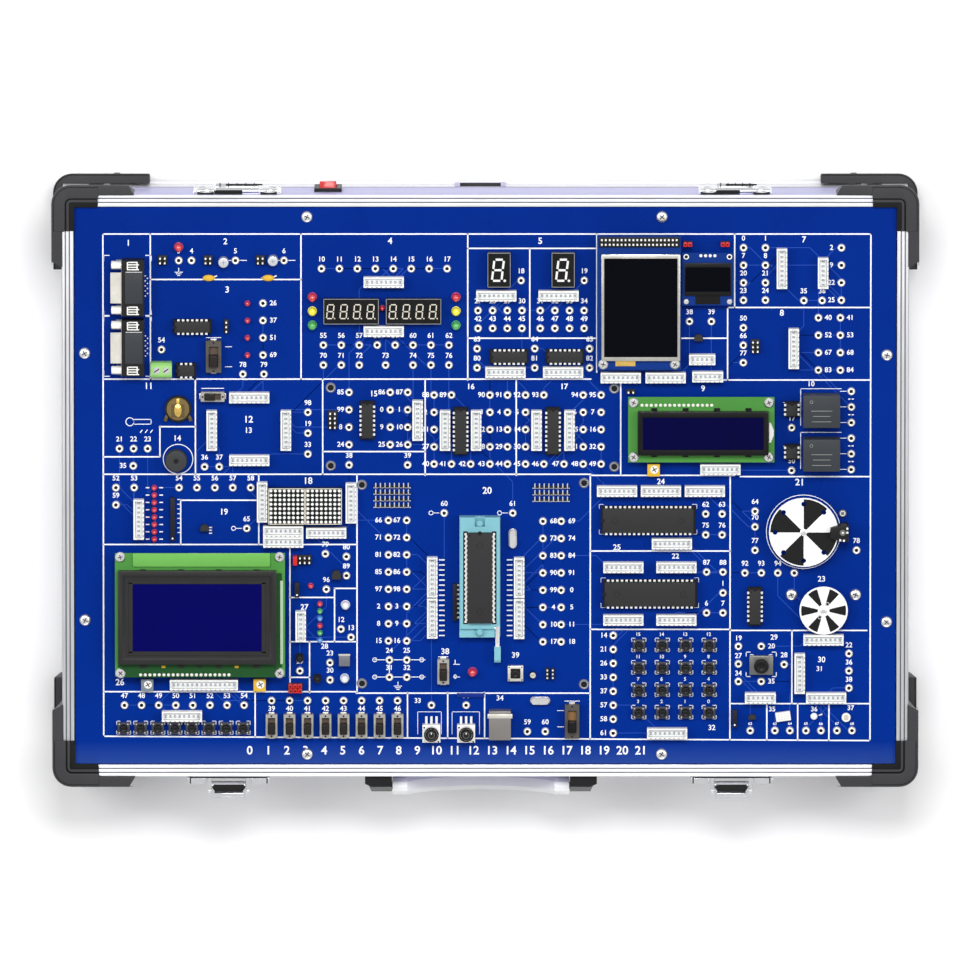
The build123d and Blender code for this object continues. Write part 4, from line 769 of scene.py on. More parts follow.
def addHinge(parts, island):
    # barrel with dark slits between its knuckles, dark lines along the leaf and under the lips, all painted shade, two
    # curled lips and screws in the leaf
    x, y, top, low = island.middle.x, island.high.y, island.high.z, island.low.z
    half = island.size.x / 2
    knuckle = 11.75 if half > 22 else 10
    lip = [(0, 0), (1.1, 0.3), (1.7, 2.5), (1.9, 5.0), (1.7, 7.5), (1.1, 9.7), (0, 10)]
    for k in range(5):
        parts.block((x - knuckle + 2 * knuckle * (k + 0.5) / 5, y - 1.4, top - 2.2), (0.5, 2.4, 4.6), "holeShade", 0.05)
    parts.block((x - half * 0.2, y - 5.2, top + 0.02), (knuckle * 1.3, 1.9, 0.12), "holeShade", 0.03)
    parts.block((x + half * 0.16, y - 1.0, top + 0.02), (knuckle * 1.7, 0.8, 0.12), "holeShade", 0.03)
    for side in (-1, 1):
        sx = x + side * half * 0.72
        parts.spin((sx - 5, y - 4.6, top - 1.6), lip, "chrome", 20, "X")
        parts.block((sx, y - 5.8, top - 0.6), (9, 0.7, 1.4), "holeShade", 0.1)
        parts.spin((x + side * (half - 5), backFace + 1.3, low + 7), [(0, 0), (2.2, 0), (1.9, 0.7), (0, 1.1)], "rivet",
                   20, "Y")


def addPanHeads(name, spots, seed, recessFinish):
    stampOn(name + "_screw_heads", [(p.x, p.y, boardTop, 0) for p in spots], drawPanHead, "steel", 80, seed)
    stampOn(name + "_screw_recesses", [(p.x, p.y, boardTop + panHead["height"] - panHead["recess"], 0) for p in spots],
            smallCross(3.3, 0.55, 0.45, 0, 0.1), recessFinish, 80, seed)


def buildHardware():
    screws = []
    parts = Piece("latches_hinges_brackets", slotName="hardware")
    for island in islandsOf("case_hardware"):
        middle, size = island.middle, island.size
        if island.low.z > 60 and size.x < 7 and size.y < 7:
            screws.append(middle)
            parts.disc((middle.x, middle.y, island.low.z), 1.45, boardTop - island.low.z, "steel", 16)
        elif size.x < 9:
            parts.carry(island, "steel", 0.2)
        elif size.x < 20:
            parts.carry(island, "blackPlastic", 0.6, bend=bracketSlope)
        else:
            parts.carry(island, "chrome", case["softChrome"])
            (addLatchPlate if middle.y < 0 else addHinge)(parts, island)
    parts.done("case_hardware")
    addPanHeads("board", screws, 3, "darkSteel")
    print("hardware done")


def addInletFlange(parts, island):
    # pale sheet over the inlet's flange, left open round its mouth
    x, z = island.middle.x, island.middle.z
    w, h, y = island.size.x, island.size.z, island.high.y
    for side in (1, -1):
        parts.block((x, y - 0.9, z + side * (h / 2 - 1.1)), (w + 0.1, 1.9, 2.3), "panel", 0.25)
    for side in (1, -1):
        parts.block((x + side * (w / 2 - 1.4), y - 0.9, z), (2.9, 1.9, h + 0.1), "panel", 0.25)


def buildPower():
    inlet = {"x": -2.7, "pins": ((-7, 25), (0, 29), (7, 25))}

    def inletFace(middle, normal):
        x = middle.x - inlet["x"]
        if middle.y < backFace - 3 and abs(normal.y) < 0.9 and abs(x) < 9 and 18 < middle.z < 36:
            if any(abs(x - dx) < 2.2 and abs(middle.z - z) < 4.2 for dx, z in inlet["pins"]):
                return "pin"
        return None

    parts = Piece("mains_inlet_and_supply", slotName="power")
    for island in islandsOf("power_unit"):
        if island.size.x > 60:
            parts.carry(island, "plate", 0.6)
        elif island.size.x > 20:
            parts.carry(island, "blackPlastic", 0.3, choose=inletFace)
            addInletFlange(parts, island)
        else:
            parts.carry(island, "blackPlastic", 0.35)
    for k in range(9):
        # vents in the supply's lid, drawn as dark strips: painted shade
        parts.block((-60, caseY + 30 + k * 7, 43.25), (70, 2.4, 0.1), "holeShade", 0.03)
    parts.done("power_unit")
    rocker = Piece("mains_rocker_cap", "mains_rocker", "rocker")
    island = islandsOf("mains_rocker")[0]
    rocker.carry(island, "redPlastic", 0.3)
    rocker.tube((island.middle.x, island.high.y - 0.12, island.middle.z + 4.2), 1.9, 1.35, 0.16, "white", 24, 0.03, "Y")
    rocker.done("mains_rocker")
    print("power done")


# ---- patch sockets ----
bush = {"ring": 2.22, "top": 2.0, "bore": 0.92}


def drawBush(piece):
    ring, top, bore = bush["ring"], bush["top"], bush["bore"]
    piece.spin((0, 0, 0), [(bore, 0.3), (bore, 0.05), (ring, 0.02), (ring, 0.55), (ring - 0.12, 0.75),
                           (ring - 0.2, 1.5), (ring - 0.5, 1.9), (ring - 0.85, top), (bore + 0.15, top - 0.12),
                           (bore, top - 0.4), (bore, 0.3)], "tin", 24)


def drawEyelet(piece):
    piece.spin((0, 0, 0), [(1.6, 0.02), (2.88, 0.02), (2.88, 0.3), (2.6, 0.75), (2.1, 1.15), (1.75, 1.1), (1.6, 0.8),
                           (1.6, 0.02)], "grayRing", 28)


def drawBore(radius, height, sides):
    # a dark disc at the foot of a bore: painted shade
    return lambda piece: piece.disc((0, 0, 0), radius, height, "holeShade", sides, 0.02)


def buildSockets():
    islands = islandsOf("patch_sockets")
    ends = {True: [], False: []}
    for island in islands:
        ends[island.size.z > 1.6].append((island.middle.x, island.middle.y))
    sockets, eyes = ends[True], ends[False]
    rings = stampOn("patch_socket_rings", [(x, y, boardTop, 0) for x, y in sockets], drawBush, "tin",
                    smooth=40)
    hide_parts("patch_sockets")
    stampOn("patch_socket_bores", [(x, y, boardTop + 0.05, 0) for x, y in sockets],
            drawBore(bush["bore"] + 0.05, 0.4, 16), "holeShade")
    stampOn("eyelet_rings", [(x, y, boardTop, 0) for x, y in eyes], drawEyelet, "grayRing", smooth=40)
    stampOn("eyelet_bores", [(x, y, boardTop + 0.05, 0) for x, y in eyes], drawBore(1.65, 0.25, 20), "holeShade")
    print("patch sockets:", len(sockets), "eyelets:", len(eyes))
    return sockets


# ---- white pin connectors ----
header = {"end": 2.1, "pinSide": 0.64, "pinTop": 6.2}


def pinPlaces(island):
    # where the pins stand along a connector's long side, with its turn
    count = round((island.size[island.long] - 2 * header["end"]) / pitch) + 1
    places = []
    for k in range(count):
        spot = [island.middle.x, island.middle.y]
        spot[island.long] += (k - (count - 1) / 2) * pitch
        places.append((spot[0], spot[1], 90 * island.long))
    return places


def drawPin(piece):
    side, top = header["pinSide"], header["pinTop"]
    piece.block((0, 0, top / 2), (side, side, top), "pin", 0.1)


def drawTick(piece):
    piece.block((0, 0, 0), (0.9, 0.5, 1.6), "shellShade", 0.04)


def buildConnectors():
    def shellFace(middle, normal):
        return "shellShade" if normal.z > 0.9 and middle.z < boardTop + 5 else None

    shells = Piece("connector_shells", slotName="connector")
    pins, ticks, wells = [], [], []
    for island in islandsOf("pin_connectors"):
        shells.carry(island, "shell", 0.14, 1, choose=shellFace)
        along, top, middle = island.long, island.high.z, island.middle
        edge = island.size[1 - along] / 2 - 0.35
        for x, y, t in pinPlaces(island):
            pins.append((x, y, boardTop + 0.6, t))
            ticks.append((x + edge * along, y - edge * (1 - along), top - 0.78, t))
            wells.append((x, y, top - 2.4, t))
        # inner floor and end keys
        shells.block((middle.x, middle.y, top - 3.4), (island.size.x - 2.2, island.size.y - 2.2, 2.0), "shellFloor",
                     0.1)
        for end in (-1, 1):
            spot = [middle.x, middle.y, top - 0.45]
            spot[along] += end * (island.size[along] / 2 - 0.7)
            shells.block(spot, (1.0, 2.4, 1.1) if along == 0 else (2.4, 1.0, 1.1), "shellShade", 0.1)
    shells.done("pin_connectors")
    stampOn("connector_pins", pins, drawPin, "pin")
    # grey ticks in the shells' slots and grey plates in the pin wells: painted shade
    stampOn("connector_slots", ticks, drawTick, "shellSlotShade")
    stampOn("connector_pin_wells", wells, lambda p: p.block((0, 0, 0), (1.1, 1.5, 0.1), "shellSlotShade", 0.02), "shellSlotShade")
    print("connector pins:", len(pins))
    return [(x, y) for x, y, z, t in pins]


# ---- chips ----
def drawLeg(piece):
    # shoulder, knee and blade of one chip leg, which leaves the body towards +Y
    piece.block((0, 0.35, 0), (1.3, 0.9, 0.26), "pin", 0.05)
    piece.block((0, 0.72, -0.9), (1.2, 0.26, 1.8), "pin", 0.05)
    piece.block((0, 0.72, -2.2), (0.5, 0.26, 1.4), "pin", 0.05)


def addFlatPart(packages, island):
    # the flat blue one barely shows, the two short ones are pin strips
    middle, long = island.middle, island.long
    short = 0.52 if middle.x > 130 else 0.68 if abs(middle.x + 103) < 3 else 1

    def squeeze(s):
        return Vector((s.x, middle.y + (s.y - middle.y) * (short if long else 1),
                       boardTop + (s.z - boardTop) * (1 if long else 0.3)))

    packages.carry(island, "blackPlastic" if long else "boardBlue", 0.25, bend=squeeze)
    if long:
        end = middle.y - (island.size.y * short / 2 - 1.4)
        packages.disc((middle.x, end, island.high.z - 0.02), 0.5, 0.06, "silk", 12, 0.01)


def buildChips():
    packages = Piece("chip_bodies_and_sockets", slotName="chip")
    legs, clips = [], []
    headings = {(0, 1): 0, (0, -1): 180, (1, 1): 270, (1, -1): 90}
    for island in islandsOf("chip_packages"):
        middle, size, top, low = island.middle, island.size, island.high.z, island.low.z
        long, wide = island.long, 1 - island.long
        if min(size.x, size.y) < 3:
            addFlatPart(packages, island)
            continue
        if low < boardTop + 1:
            packages.carry(island, "chipSocket", 0.2, 1)
            continue
        packages.carry(island, "chip", 0.3)
        count = max(3, round((size[long] - 1.0) / pitch))
        for k in range(count):
            for side in (-1, 1):
                spot = [middle.x, middle.y]
                spot[long] += (k - (count - 1) / 2) * pitch
                spot[wide] += side * (size[wide] / 2 - 0.1)
                legs.append((spot[0], spot[1], low + 1.4, headings[(long, side)]))
                spot[wide] += side * 0.55
                clips.append((spot[0], spot[1], low + (0.1 if size[wide] < 10 else 0.2), headings[(long, side)]))
        # end notch as a dark disc, painted shade, first-leg dimple and, on the wide ones, two moulding marks
        first = -1 if long == 0 else 1
        end = [middle.x, middle.y, top - 0.22]
        end[long] += (size[long] / 2 - 0.2) * first
        packages.disc(end, 1.15, 0.26, "holeShade", 20, 0.05)
        dimple = [middle.x, middle.y, top - 0.03]
        dimple[long] += (size[long] / 2 - 1.6) * first
        dimple[wide] -= size[wide] / 2 - 1.3
        packages.disc(dimple, 0.5, 0.06, "blackPlastic", 14, 0.01)
        for side in (-1, 1) if size[wide] > 10 else ():
            mark = [middle.x, middle.y, top - 0.03]
            mark[long] += side * size[long] * 0.36
            packages.tube(mark, 1.6, 1.35, 0.06, "blackPlastic", 24, 0.01)
    packages.done("chip_packages")
    stampOn("chip_legs", legs, drawLeg, "pin")
    stampOn("chip_socket_clips", clips, lambda p: p.block((0, 0.1, 1.4), (1.35, 1.0, 0.5), "litPin", 0.08), "litPin")
    print("chip legs:", len(legs))


# ---- displays ----
screens = {
    "graphic": {"at": (-156, -70), "board": "greenMask", "bezel": "bezel", "glass": "navy", "field": (70.4, 37),
                "move": (-1.5, 1.1)},
    "character": {"at": (118, 31.8), "board": "greenMask", "bezel": "blackBezel", "glass": "navyDark",
                  "field": (66.4, 17.6), "move": (1.0, 0.0)},
    "colour": {"at": (84, 101.5), "board": "blueMask", "bezel": "tftFrame", "glass": "blackScreen",
               "sheet": (40.1, 54.2), "move": (0.9, -0.8)},
    "small": {"at": (121.5, 114.5), "board": "blueMask", "bezel": "blackBezel", "glass": "blackScreen",
              "sheet": (24.6, 13.4), "move": (0, 0)},
}
dots, pads, moduleScrews, smallScrews, headerPins = [], [], [], [], []  # places of the displays' stamps
digit = {"a": (0, 1, 0), "b": (1, 0.5, 1), "c": (1, -0.5, 1), "d": (0, -1, 0), "e": (-1, -0.5, 1), "f": (-1, 0.5, 1),
         "g": (0, 0, 0)}


def addDigit(piece, x, y, z, width, height, stroke, lean, finish="segment"):
    # seven bars and a point; lean slants the upright ones
    for dx, dy, upright in digit.values():
        spot = (x + dx * width / 2 + dy * height / 2 * lean, y + dy * height / 2, z)
        if upright:
            piece.block(spot, (stroke, height / 2 - stroke * 1.15, 0.08), finish, 0.02, -math.degrees(math.atan(lean)))
        else:
            piece.block(spot, (width - stroke * 1.15, stroke, 0.08), finish, 0.02)
    piece.disc((x + width / 2 + stroke * 1.6 - height / 2 * lean, y - height / 2, z - 0.04), stroke * 0.62, 0.08,
               finish, 14, 0.01)


def addFrame(parts, x, y, z, wide, tall, bars, height, finish, edge):
    # four bars along a rectangle's sides; bars: length of the level ones, length of the upright ones, width
    level, upright, width = bars
    for side in (1, -1):
        parts.block((x, y + side * tall, z), (level, width, height), finish, edge)
    for side in (1, -1):
        parts.block((x + side * wide, y, z), (width, upright, height), finish, edge)


def addEdgeLines(parts, middle, size, top):
    addFrame(parts, middle.x, middle.y, top - 0.05, size.x / 2 - 0.2, size.y / 2 - 0.2,
             (size.x - 0.4, size.y - 0.4, 0.3), 0.2, "edgePaint", 0.03)


def buildDisplays():
    parts = Piece("display_modules_set", slotName="display")
    boards = {}
    for island in islandsOf("display_modules"):
        middle, size, top = island.middle, island.size, island.high.z
        x, y = middle.x, middle.y - caseY
        kind = min(screens, key=lambda k: math.hypot(x - screens[k]["at"][0], y - screens[k]["at"][1]))
        look = screens[kind]
        inside = abs(x - look["at"][0]) < 50 and abs(y - look["at"][1]) < 45
        move = look["move"]
        if size.x < 4.5 and size.y < 4.5:
            parts.carry(island, "steel", 0.2)
        elif island.low.z > boardTop + 1 and size.z < 1.7 and size.x > 27 and inside:
            squeeze = 0.972 if kind == "graphic" else 1
            parts.carry(island, look["board"], 0.15, 1, bend=lambda s: Vector((
                s.x, middle.y + (s.y - middle.y) * squeeze, s.z)))
            boards[kind] = island
        elif island.low.z > boardTop + 1:
            parts.carry(island, look["bezel"], 0.3, bend=lambda s: Vector((s.x + move[0], s.y + move[1], s.z)))
            look["frame"] = island
        else:
            parts.carry(island, "digitFace", 0.25, 1)
            if abs(size.x - size.y) < 0.1:
                # dot matrix: eight by eight dots inside a cream edge
                dots.extend((middle.x + (c - 3.5) * 2.45, middle.y + (r - 3.5) * 2.45, top, 0)
                            for r in range(8) for c in range(8))
                addFrame(parts, middle.x, middle.y, top - 0.1, 9.75, 9.75, (20, 20, 0.45), 0.3, "creamPlastic", 0.05)
                continue
            if size.x > 25:
                for k in range(4):
                    addDigit(parts, middle.x + (k - 1.5) * 7.3 - 0.4, middle.y, top + 0.02, 3.4, 7.6, 0.62, 0.09)
            else:
                addDigit(parts, middle.x - 0.6, middle.y, top + 0.02, 5.2, 11.6, 1.15, 0.12, "litSegment")
            addEdgeLines(parts, middle, size, top)
    for look in screens.values():
        island = look["frame"]
        top = island.high.z
        cx, cy = (island.middle[k] + look["move"][k] for k in (0, 1))
        if "field" in look:
            # sloping inner frame in the bezel's hollow, then the glass
            hollow = [s for s in island.spots if island.low.z + 0.1 < s.z < top - 0.3]
            floor = max(s.z for s in hollow)
            span = [max(s[k] for s in hollow) - min(s[k] for s in hollow) - 2.2 for k in (0, 1)]
            wide, tall = look["field"]
            parts.block((cx, cy, floor + 0.12), (span[0], span[1], 0.22), look["bezel"], 0.05)
            addFrame(parts, cx, cy, floor + 0.35, wide / 2 + 1.2, tall / 2 + 1.2, (wide + 5, tall + 2, 2.2), 0.3,
                     look["bezel"], 0.12)
            parts.block((cx, cy, floor + 0.32), (wide, tall, 0.16), look["glass"], 0.04)
        else:
            parts.block((cx, cy, top - 0.02), (*look["sheet"], 0.14), look["glass"], 0.04)
    addScreenDetails(parts, boards)
    parts.done("display_modules")


def addScreenDetails(parts, boards):
    def padRow(island, x, y, count):
        pads.extend((x + k * pitch, y, island.high.z, 0) for k in range(count))

    g, c, t, s = (boards[k] for k in ("graphic", "character", "colour", "small"))
    padRow(g, -188.5, caseY - 103.0, 20)
    padRow(c, 85.6, caseY + 45.3, 16)
    gx, gy, gt = g.middle.x, g.middle.y, g.high.z
    parts.block((gx + 0.8, g.high.y - 4.6, gt + 0.6), (75, 7.4, 1.2), "lightStrip", 0.3)
    parts.block((g.high.x - 1.9, gy - 4, gt + 0.4), (1.6, 46, 0.8), "paleEdge", 0.2)
    for side in (-1, 1):
        parts.block((gx + side * (g.size.x / 2 - 3.4), gy - 3, gt + 0.06), (3.4, 52, 0.12), "darkGreenMask", 0.03)
    parts.block((gx, g.low.y + 4.6, gt + 0.05), (86, 8, 0.1), "darkGreenMask", 0.03)
    for k in range(7):
        parts.block((gx - 30 + k * 10, g.low.y + 6.5, gt + 0.25), (2.2, 1.3, 0.5), "yellowPart" if k % 3 else "chip",
                    0.08)
    for island, inset in ((g, 3.0), (c, 3.0), (t, 3.4), (s, 2.2)):
        for sx, sy in fourWays:
            x = island.middle.x + sx * (island.size.x / 2 - inset)
            y = island.middle.y + sy * (island.size.y / 2 - inset)
            if island is s and sy > 0:
                parts.tube((x, y, island.high.z - 0.02), 1.5, 0.9, 0.12, "tin", 24, 0.03)
                # the pad's hole is a dark disc, painted shade
                parts.disc((x, y, island.high.z - 0.02), 0.9, 0.06, "holeShade", 16, 0.01)
            elif island is s:
                smallScrews.append((x, y, island.high.z, 0))
            elif island is not t or sy < 0:
                moduleScrews.append((x, y, island.high.z, 0))
    # metal tabs that hold the bezels
    for kind in ("graphic", "character"):
        f = screens[kind]["frame"]
        for k in range(4):
            for side in (-1, 1):
                parts.block((f.low.x + f.size.x * (0.14 + 0.24 * k), f.middle.y + side * (f.size.y / 2 + 0.7),
                             f.low.z + 0.35), (3.2, 1.6, 0.5), screens[kind]["bezel"], 0.1)
    # the small screen's chin and pads, the colour screen's flex and header
    f = screens["small"]["frame"]
    parts.block((f.middle.x, f.low.y - 2.4, s.high.z + 0.3), (13.4, 4.6, 0.5), "digitFace", 0.1)
    padRow(s, s.middle.x - 3.81, s.high.y - 1.6, 4)
    x, z = t.middle.x, t.high.z
    parts.block((x - 7.5, t.low.y + 4.4, z + 0.25), (11, 4.2, 0.4), "gold", 0.1)
    parts.block((x, t.low.y + 2.4, z + 0.25), (36, 3.2, 0.3), "blueMask", 0.05)
    parts.block((x, t.high.y - 3.4, z + 0.9), (44, 5.4, 1.8), "blackPlastic", 0.15)
    headerPins.extend((x - 20.4 + k * 2.15, t.high.y - 2.1 - r * pitch, z + 1.6, 0) for k in range(20) for r in (0, 1))
    # pale reflector wedge at the end of the character screen
    f = screens["character"]["frame"]
    x, y, z = f.high.x + 1.2, f.middle.y, c.high.z
    parts.plate([(x, y - 5.5), (x + 1.0, y - 5.5), (x + 2.6, y - 1.5), (x + 2.6, y + 1.5), (x + 1.0, y + 5.5),
                 (x, y + 5.5)], z, z + 1.6, "litSegment", 0.2)


def drawDot(piece):
    piece.disc((0, 0, -0.05), 0.82, 0.09, "litSegment", 16, 0.02)


def drawPad(piece):
    piece.disc((0, 0, 0), 0.85, 0.14, "tin", 16, 0.03)
    piece.block((0, 0, 0.35), (0.6, 0.6, 0.6), "tin", 0.1)


def buildDisplayStamps():
    stampOn("matrix_dots", dots, drawDot, "litSegment")
    stampOn("module_pads", pads, drawPad, "tin")
    stampOn("module_header_pins", headerPins, lambda p: p.block((0, 0, 1.0), (1.0, 1.0, 2.0), "litPin", 0.1), "litPin")
    stampOn("module_screws", moduleScrews, smallScrew(2.75, 1.7), "steel", 60, 5)
    stampOn("module_screw_recesses", [(x, y, z + 1.62, t) for x, y, z, t in moduleScrews],
            smallCross(2.76, 0.506, 0.3, 45), "darkSteel", 60, 5)
    stampOn("small_module_screws", smallScrews, smallScrew(1.6, 1.1), "steel", 60, 6)
    print("display dots and pads:", len(dots), len(pads))


# ---- keys, slides, knobs, joystick ----
def turned(name):
    # middle, radius, foot and top of a round part
    island = islandsOf(name)[0]
    return island.middle.x, island.middle.y, island.size.x / 2, island.low.z, island.high.z


def addSlideBody(parts, island):
    x, y, top = island.middle.x, island.middle.y, island.high.z
    long, size = island.long, island.size

    def slotFace(spot, normal):
        if normal.z > 0.9 and spot.z < top - 0.6:
            return "brownPlastic" if x > 40 else "slotFloor"
        return None

    dark = x > 40 or size.x > 8.5 and size.y > 15
    parts.carry(island, "darkFrame" if dark else "slideBody", 0.2, 1, choose=slotFace)
    for end in (-1, 1):
        spot = [x, y, boardTop + 0.9]
        spot[long] += end * (size[long] / 2 + 0.35)
        parts.block(spot, (0.8, 3.2, 1.8) if long == 0 else (3.2, 0.8, 1.8), "plate", 0.15)
        spot = [x, y, top - 0.3]
        spot[long] += end * (size[long] / 2 - 1.0)
        # a dark disc in each end hole, painted shade
        parts.disc(spot, 0.55, 0.34, "holeShade", 14, 0.04)


def addKnobBody(parts, island):
    x, y, top = island.middle.x, island.middle.y, island.high.z
    parts.carry(island, "white", 0.25)
    parts.tube((x, y, top - 0.05), 4.1, 3.3, 0.3, "blackPlastic", 32, 0.05)
    # two dark discs for the body's holes, painted shade
    for side in (-1, 1):
        parts.disc((x + side * 3.9, y - side * 3.9, top - 0.05), 0.5, 0.12, "holeShade", 14, 0.02)
    for k in (-1, 0, 1):
        parts.block((x + k * 2.8, y + island.size.y / 2 + 2.0, boardTop + 0.8), (1.3, 4.0, 0.6), "litPin", 0.12)


def addLeverSocketTop(parts, contacts):
    x, y = deck(-3, -49.5)[:2]
    top = 86.0
    for k in range(20):
        for side in (-1, 1):
            contacts.append((x + side * 7.75, y + (k - 9.5) * pitch, top, 0))
    # dark strips along the contact rows, painted shade in the slots
    for side in (-1, 1):
        parts.block((x + side * 7.85, y, top + 0.02), (2.5, 51.2, 0.1), "holeShade", 0.02)
    # a darker ring round each raised disc on the lever socket: painted shade
    for side in (-1, 1):
        parts.disc((x, y + side * 30.0, top - 0.02), 2.1, 0.12, "zifShadeRing", 28, 0.03)
        parts.disc((x, y + side * 30.0, top + 0.05), 1.5, 0.12, "zif", 28, 0.03)


def addHousings():
    parts = Piece("control_bodies", slotName="housing")
    pips, tabs, contacts = [], [], []
    for island in islandsOf("control_housings"):
        size, top = island.size, island.high.z
        x, y = island.middle.x, island.middle.y
        if size.y > 60:
            parts.carry(island, "zif", 0.12, 1)
        elif abs(size.x - 13) < 0.1 and abs(size.y - 10.5) < 0.1:
            parts.carry(island, "stickBase", 0.4)
            for sx, sy in fourWays:
                parts.block((x + sx * 5.2, y + sy * 4.6, boardTop + 0.3), (2.0, 2.2, 0.5), "pin", 0.1)
            parts.tube((x, y, top - 0.3), 3.4, 2.5, 0.35, "darkSteel", 28, 0.08)
        elif size.z > 10:
            addKnobBody(parts, island)
        elif size.x > 8 and size.z < 5.2 and abs(size.x - size.y) < 0.1:
            parts.carry(island, "plate", 0.3)
            parts.block((x, y, top + 0.02), (5.4, 5.4, 0.25), "blackPlastic", 0.08)
            # dark discs in the corner holes, painted shade
            for sx, sy in fourWays:
                parts.disc((x + sx * 3.5, y + sy * 3.5, top - 0.05), 0.4, 0.12, "holeShade", 12, 0.02)
        elif abs(size.x - 6) < 0.1 and abs(size.y - 6) < 0.1:
            parts.carry(island, "keyFrame", 0.3, bend=lambda s: Vector((
                x + (s.x - x) * 1.12, y + (s.y - y) * 1.08, s.z)))
            for sx, sy in fourWays:
                pips.append((x + sx * 2.35, y + sy * 2.35, top - 0.04, 0))
                tabs.append((x + sx * 3.5, y + sy * 2.25, boardTop, 0))
        else:
            addSlideBody(parts, island)
    addLeverSocketTop(parts, contacts)
    parts.done("control_housings")
    stampOn("key_cover_pips", pips, lambda p: p.disc((0, 0, 0), 0.42, 0.16, "steel", 12, 0.05), "steel")
    stampOn("key_legs", tabs, lambda p: p.block((0, 0, 0.3), (1.2, 0.8, 0.6), "pin", 0.12), "pin")
    stampOn("lever_socket_contacts", contacts, lambda p: p.block((0, 0, 0.5), (1.35, 1.15, 1.6), "litPin", 0.12),
            "litPin")


def addKeyCap(name):
    cap = Piece(name + "_cap", name, "key")
    x, y, r, low, high = turned(name)
    cap.spin((x, y, 0), [(0, low), (r - 0.1, low), (r, low + 0.1), (r, high - 0.35), (r - 0.12, high - 0.1),
                         (r - 0.4, high), (r - 0.7, high - 0.06), (r * 0.5, high - 0.16), (0, high - 0.2)],
             "keyCap", 32)
    cap.done(name, smooth=30)


def addSlideKnob(name):
    knob = Piece(name + "_knob", name, "slide_black")
    island = islandsOf(name)[0]
    finish = "keyCap" if name == "usb_slide" else "slideKnob"
    knob.carry(island, finish, 0.35)
    long = island.long
    for k in (-1, 0, 1):
        spot = island.middle.copy()
        spot[long] += k * island.size[long] * 0.24
        spot.z = island.high.z - 0.02
        side = island.size[1 - long] * 0.8
        knob.block(spot, (0.5, side, 0.22) if long == 0 else (side, 0.5, 0.22), finish, 0.1)
    knob.done(name)


def addTurningKnob(name):
    knob = Piece(name + "_cap", name, "knob")
    x, y, r, low, high = turned(name)
    knob.spin((x, y, 0), [(0, low), (r - 0.5, low), (r - 0.35, low + 0.3), (r - 0.35, high - 0.7),
                          (r - 0.8, high - 0.15), (r - 1.2, high), (0, high)], "blackPlastic", 36)
    for turn in around(18):
        knob.block((x + (r - 0.38) * math.cos(turn), y + (r - 0.38) * math.sin(turn), (low + high) / 2 + 0.3),
                   (0.62, 0.42, high - low - 1.8), "blackPlastic", 0.12, math.degrees(turn))
    # a thin grey ring on the black top: painted highlight
    knob.tube((x, y, high - 0.06), r - 1.3, r - 1.6, 0.12, "stickBase", 32, 0.03)
    knob.block((x, y + r - 2.1, high - 0.05), (0.5, 1.3, 0.2), "white", 0.06)
    knob.done(name)


def buildControls():
    addHousings()
    for name in sorted(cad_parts):
        if "_key_" in name and not name.startswith("slide") or name == "reset_key":
            addKeyCap(name)
        elif "slide" in name:
            addSlideKnob(name)
        elif name.endswith("_knob"):
            addTurningKnob(name)
    stick = Piece("joystick_top", "joystick_cap", "knob")
    x, y, r, low, high = turned("joystick_cap")
    stick.spin((x, y, 0), [(0, low), (1.5, low), (1.5, high - 3.6), (2.4, high - 3.5), (r - 0.4, high - 3.2),
                           (r, high - 2.6), (r, high - 0.9), (r - 0.25, high - 0.35), (r - 0.8, high - 0.05),
                           (r - 1.3, high), (1.6, high - 0.45), (0, high - 0.55)], "keyCap", 40)
    stick.done("joystick_cap", smooth=40)
    lever = Piece("chip_socket_lever", "zif_lever", "lever")
    island = islandsOf("zif_lever")[0]
    lever.carry(island, "steel", 0.18, choose=lambda spot, normal: "zif" if spot.y < island.low.y + 8.9 else None)
    lever.done("zif_lever")
    print("controls done")


# ---- parts soldered to the board ----
def ledProfile(radius, height):
    flange = min(0.9, height * 0.13)
    body = radius * 0.9
    rise = height - body
    dome = [(body * math.cos(a), rise + body * math.sin(a)) for a in [math.pi / 2 * k / 6 for k in range(7)]]
    return [(0, 0), (radius, 0), (radius, flange), (body, flange)] + dome[:-1] + [(0, height)]


lampColours = {
    (-167.5, 131.5): "red", (-7, -102.5): "red", (-94.5, 104): "red", (-94.5, 96.25): "yellow",
    (-94.5, 88.5): "green", (-16, 104): "red", (-16, 96.25): "yellow", (-16, 88.5): "green",
    (-76.5, -65.5): "clear", (-92, -106): "blackPlastic", (-77, -106): "clear", (-101.5, -94.5): "blackPlastic",
    (-56.3, 98): "red", (-90.5, -65): "red", (-90.5, -69): "green", (-90.5, -73): "blue", (-90.5, -77): "red",
    (-90.5, -81): "green", (-90.5, -85): "blue", (-95.5, -55): "red",
}


def lampColour(x, y):
    near = min(lampColours, key=lambda p: math.hypot(p[0] - x, p[1] - y))
    return lampColours[near] if math.hypot(near[0] - x, near[1] - y) < 0.6 else "red"


